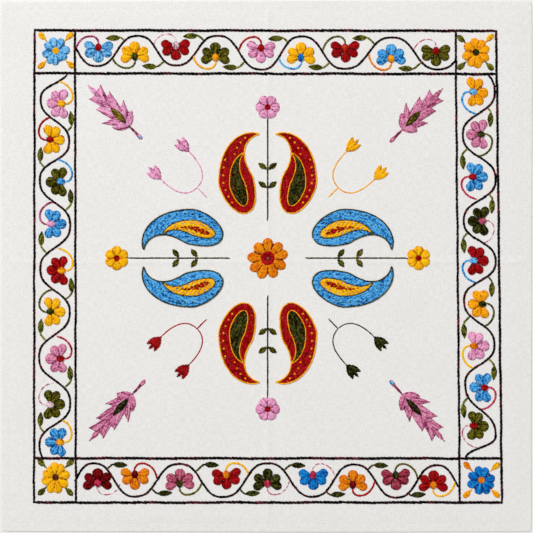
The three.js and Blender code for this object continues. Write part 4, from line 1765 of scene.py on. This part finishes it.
@dataclass(frozen=True)
class Paisley:
    """A drop whose spine bends more and more toward its tip, by bend degrees in all.

    foot is the round end's place, sideways and outward from the middle of the pattern, and full is the share
    of the spine over which the foot widens.
    """

    foot: Place
    lean: float
    length: float
    width: float
    bend: float
    full: float
    growth: float = 2.6

    def spine(self) -> tuple[Array, Array, Array]:
        """Draw the spine.

        Returns:
            The shares of its length, its points, and its headings in radians: lean plus bend times the
            share to the power of the growth.
        """
        share = np.linspace(0, 1, 61)
        heading = np.radians(self.lean + self.bend * share**self.growth)
        middle = (heading[1:] + heading[:-1]) / 2
        steps = np.stack([np.cos(middle), np.sin(middle)], -1) * self.length / (len(share) - 1)
        points = np.array(self.foot) + np.concatenate([[[0, 0]], np.cumsum(steps, axis=0)])
        return share, points, heading

    def half_width(self, share: Array) -> Array:
        """Half of the width at shares of the spine: a quarter ellipse at the foot, then a straight taper."""
        belly = np.sqrt(np.clip(1 - (1 - np.minimum(share / self.full, 1)) ** 2, 0, 1))
        return self.width / 2 * belly * (1 - np.clip(share - self.full, 0, 1) / (1 - self.full))

    def flat_outline(self, inset: float = 0.0) -> Array:
        """Draw the outline as if the spine were straight.

        Args:
            inset: How far it lies inside the paisley's own edge.

        Returns:
            The outline, with x along the spine and y across it.
        """
        share = np.linspace(0, 1, 31) ** 1.3
        keep = self.half_width(share) >= inset
        return outline_of(share[keep] * self.length, np.maximum(self.half_width(share[keep]) - inset, 0.02))

    def bent(self, points: Array) -> Array:
        """Carry places from beside the straight spine to beside the bent one.

        Args:
            points: Places along and across the straight spine.

        Returns:
            The point of the spine at that distance, plus its left-hand normal times the distance across.
        """
        share, spine, heading = self.spine()
        at = points[..., 0] / self.length
        x, y, turn = (np.interp(at, share, values) for values in (spine[:, 0], spine[:, 1], heading))
        return np.stack([x - np.sin(turn) * points[..., 1], y + np.cos(turn) * points[..., 1]], -1)


class Scheme(Enum):
    """The silks of a pair of paisleys: body, core, heart and outline."""

    RED = (Silk.RED, Silk.DARK_GREEN, Silk.GREEN, Silk.GOLD)
    BLUE = (Silk.LIGHT_BLUE, Silk.YELLOW, Silk.RED, Silk.GREEN)


@dataclass(frozen=True)
class PaisleyPairs(Embroidery):
    """Four pairs of paisleys around the daisy, each pair mirrored about its plant."""

    title = "paisleys"
    seed = 61
    middle: Place = (1.0, 7.2)
    outer: Paisley = Paisley((17, 39), 67, 83, 30, 122, 0.36)
    core: Paisley = Paisley((19.5, 45), 68, 50, 13.5, 80, 0.38)
    heart: Paisley = Paisley((20.5, 49), 69, 32, 5.6, 46, 0.4)
    schemes: tuple[Scheme, ...] = (Scheme.RED, Scheme.BLUE, Scheme.RED, Scheme.BLUE)

    def sew(self, needle: Needle) -> None:
        """Sew the eight paisleys.

        Args:
            needle: The needle.
        """
        for quarter, scheme in enumerate(self.schemes):
            for side in (1, -1):
                self.sew_one(needle, quarter * 90, side, scheme)

    def sew_one(self, needle: Needle, turn: float, side: int, scheme: Scheme) -> None:
        """Sew one paisley.

        Args:
            needle: The needle.
            turn: The pair's turn about the daisy, in degrees.
            side: 1 for the right one of the pair and -1 for the left one.
            scheme: Its silks.
        """
        body, core, heart, edge = scheme.value

        def to_cloth(points: Array) -> Array:
            """Carry places about the daisy to the cloth, mirrored for the left one."""
            return placed(points * np.array([side, 1]), turn, self.middle)

        layers = (
            (self.outer, body, 0.0, 20.0, 0.5),
            (self.core, core, 0.3, -16.0, 0.9),
            (self.heart, heart, 0.5, 0.0, 1.1),
        )
        for drop, silk, lift, slant, loft in layers:
            needle.fill(
                silk, drop.flat_outline(), slant, longest=7, lift=lift, loft=loft,
                warp=lambda points, drop=drop: to_cloth(drop.bent(points)),
            )
        for drop, inset, width, lift in ((self.outer, 0.0, 1.3, 0.14), (self.core, 0.0, 1.1, 0.3)):
            flat = drop.flat_outline(inset)
            rim = to_cloth(drop.bent(np.concatenate([flat, flat[:1]])))
            needle.rope(edge, rim, width, step=2.4, reach=4.8, lift=lift, loft=0.5)
        self.sew_dots(needle, to_cloth, edge)

    def sew_dots(self, needle: Needle, to_cloth: Warp, silk: Silk) -> None:
        """Sew a row of knots between a paisley's core and its outer edge.

        Args:
            needle: The needle.
            to_cloth: Carries places about the daisy to the cloth.
            silk: The thread.
        """
        share = np.linspace(0.16, 0.84, 11)
        across = self.outer.half_width(share) * np.where(share < 0.6, 0.72, 0.0)
        flat = np.stack([share * self.outer.length, -across], -1)
        for at in to_cloth(self.outer.bent(flat)):
            needle.knot(silk, at, 1.0, turns=5, lift=0.5)


@dataclass(frozen=True)
class FieldPlants(Embroidery):
    """The flowering plant between the two paisleys of each pair."""

    title = "plants"
    seed = 71
    middle: Place = (1.0, 7.2)
    foot: float = 32.0
    top: float = 121.0
    flower: float = 130.0
    radius: float = 10.5
    heart: float = 2.8
    petal_width: float = 8.0
    leaf_reach: float = 8.0
    leaf_lift: float = 6.0
    leaf_width: float = 4.4
    leaves: tuple[float, ...] = (60.0, 76.0)
    flowers: tuple[tuple[Silk, Silk], ...] = (
        (Silk.PINK, Silk.RED),
        (Silk.YELLOW, Silk.RED),
        (Silk.PINK, Silk.RED),
        (Silk.YELLOW, Silk.RED),
    )

    def sew(self, needle: Needle) -> None:
        """Sew the four plants.

        Args:
            needle: The needle.
        """
        for quarter, (petals, middle) in enumerate(self.flowers):
            turn = 90 * quarter
            stem = np.array([[0, self.foot], [0, (self.foot + self.top) / 2], [0, self.top]])
            needle.rope(Silk.GREEN, placed(stem, turn, self.middle), width=1.7, step=2.2, reach=4.6)
            for height in self.leaves:
                for side in (-1, 1):
                    ends = np.array([[0, height], [side * self.leaf_reach, height + self.leaf_lift]])
                    heading = heading_of(ends[0], ends[1]) + turn
                    shape = placed(lens(ends[0], ends[1], self.leaf_width, 0.55), turn, self.middle)
                    needle.fill(Silk.OLIVE, shape, heading, longest=11, loft=0.5)
            at = tuple(placed(np.array([[0, self.flower]]), turn, self.middle)[0])
            around = tuple((turn + 60.0 * step, self.radius) for step in range(6))
            RoundFlower(at, around, self.heart, self.petal_width, petals, middle).sew(needle)


@dataclass(frozen=True)
class FieldSprays(Embroidery):
    """The forked sprays on the field's diagonals, with a bud at the end of each stem."""

    title = "sprays"
    seed = 81
    middle: Place = (1.0, 7.2)
    foot: float = 74.0
    fork: float = 86.0
    reach: float = 113.0
    spread: float = 17.0
    bow: float = 17.0
    bud_length: float = 15.0
    bud_width: float = 10.0
    silks: tuple[tuple[Silk, Silk], ...] = (
        (Silk.YELLOW, Silk.GOLD),
        (Silk.PINK, Silk.PINK),
        (Silk.RED, Silk.RED),
        (Silk.DARK_GREEN, Silk.GREEN),
    )

    def sew(self, needle: Needle) -> None:
        """Sew the four sprays.

        Args:
            needle: The needle.
        """
        for quarter, (bud, stem) in enumerate(self.silks):
            turn = 45 + 90 * quarter
            stalk = placed(np.array([[self.foot, 0], [self.fork - 4, 0], [self.fork, 0]]), turn, self.middle)
            needle.rope(stem, stalk, width=1.5, step=2, reach=4)
            for side in (-1, 1):
                path = bezier((self.fork, 0), (self.fork, side * self.bow), (self.reach, side * self.spread))
                needle.rope(stem, placed(path, turn, self.middle), width=1.4, step=2, reach=4)
                self.sew_bud(needle, bud, turn, side)

    def sew_bud(self, needle: Needle, silk: Silk, turn: float, side: int) -> None:
        """Sew a bud of three pointed petals that fan from the stem's end.

        Args:
            needle: The needle.
            silk: The thread.
            turn: The spray's turn about the daisy, in degrees.
            side: Which of the two stems it ends.
        """
        at = (self.reach, side * self.spread)
        for angle, length, width in ((-20, 0.94, 0.46), (20, 0.94, 0.46), (0, 1.0, 0.44)):
            shape = lens((-0.6, 0), (self.bud_length * length, 0), self.bud_width * width, fullest=0.52)
            shape = placed(placed(shape, angle, at), turn, self.middle)
            needle.fill(silk, shape, turn + angle, longest=16, lift=0 if angle else 0.15, loft=0.7)


@dataclass(frozen=True)
class HemStitches:
    """The tiny slip stitches that hold the turned hem down."""

    inset: float = 5.3
    spacing: float = 4.2
    unevenness: float = 0.4
    stitch: Place = (0.66, 0.88)
    half_width: float = 0.2
    rise: float = 0.36

    def build(self, cloth: MuslinSquare) -> list[Object]:
        """Sew the four rows of stitches.

        Args:
            cloth: The cloth that they are sewn to.

        Returns:
            The piece, in white cotton.
        """
        needle = Needle(cloth, seed=91)
        reach = cloth.half() - self.inset
        along = np.arange(-reach + 3, reach - 3, self.spacing)
        along = along + needle.rng.normal(0, self.unevenness, len(along))
        start = np.stack([along, np.full(len(along), reach - 0.4)], -1)
        end = start + np.array(self.stitch)
        starts = np.concatenate([placed(start, 90 * side, (0, 0)) for side in range(4)])
        ends = np.concatenate([placed(end, 90 * side, (0, 0)) for side in range(4)])
        needle.straight(Silk.BLACK, starts, ends, self.half_width, rise=self.rise)
        mesh = Stitches.joined(needle.sewn[Silk.BLACK]).mesh("hem_stitches")
        piece = dressed(mesh, Cotton(name="cotton_thread"))
        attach(piece, BODY)
        return [piece]


@dataclass(frozen=True)
class Studio:
    """The plain floor, the soft lights and the camera straight above the cloth."""

    floor_half: float = 3.0
    frame_width: float = 0.4594
    lens: float = 100.0
    sensor: float = 36.0
    key_power: float = 121.0
    fill_power: float = 13.0
    sky: float = 0.33

    def build(self) -> None:
        """Set the floor, lights, world and camera."""
        reach = self.floor_half / MM
        corners = np.array([[-reach, -reach, 0], [reach, -reach, 0], [reach, reach, 0], [-reach, reach, 0]])
        mesh = quad_mesh("floor", corners, np.array([[0, 1, 2, 3]]), smooth=False)
        dressed(mesh, PlainPaint("pale_floor", (246, 244, 240)))
        self.light("key", (-2.04, 2.28, 2.64), 1.2, self.key_power)
        self.light("fill", (1.4, -0.9, 1.8), 1.8, self.fill_power)
        world = bpy.data.worlds.new("studio")
        world.use_nodes = True
        world.node_tree.nodes["Background"].inputs["Color"].default_value = (1, 1, 1, 1)
        world.node_tree.nodes["Background"].inputs["Strength"].default_value = self.sky
        bpy.context.scene.world = world
        bpy.context.scene.view_settings.view_transform = "Standard"
        self.camera()

    def light(self, name: str, at: tuple[float, float, float], size: float, power: float) -> None:
        """Hang a square soft light that faces the cloth's middle.

        Args:
            name: The light's name.
            at: Its place in metres.
            size: Its side in metres.
            power: Its power in watts.
        """
        data = bpy.data.lights.new(name, "AREA")
        data.size = size
        data.energy = power
        light = bpy.data.objects.new(name, data)
        light.location = at
        light.rotation_euler = (-Vector(at)).to_track_quat("-Z", "Y").to_euler()
        bpy.context.scene.collection.objects.link(light)

    def camera(self) -> None:
        """Hang the camera over the middle, as far up as makes the frame as wide as it has to be."""
        data = bpy.data.cameras.new("camera")
        data.lens = self.lens
        data.sensor_width = self.sensor
        data.clip_end = 20
        camera = bpy.data.objects.new("camera", data)
        camera.location = (0, 0, self.frame_width * self.lens / self.sensor)
        bpy.context.scene.collection.objects.link(camera)
        bpy.context.scene.camera = camera


def report(name: str, pieces: list[Object]) -> None:
    """Log each piece with its count of triangles."""
    for piece in pieces:
        LOG.info("%s: %s, %d triangles", name, piece.name, 2 * len(piece.data.polygons))


def main() -> None:
    """Build the cloth and its embroidery in order, then the studio."""
    logging.basicConfig(level=logging.INFO, format="%(name)s %(message)s")
    cloth = MuslinSquare()
    sheet = cloth.build()
    report("cloth", [sheet])
    work = []
    for part in (
        HemStitches(), BorderLines(), BorderVines(), CornerRosettes(), Daisy(),
        FeatherSprigs(), PaisleyPairs(), FieldPlants(), FieldSprays(),
    ):
        pieces = part.build(cloth)
        report(type(part).__name__, pieces)
        work += pieces
    Studio().build()
    total = sum(2 * len(piece.data.polygons) for piece in [sheet, *work])
    LOG.info("%d pieces, %d triangles in all", len(work) + 1, total)


if __name__ == "__main__":
    main()
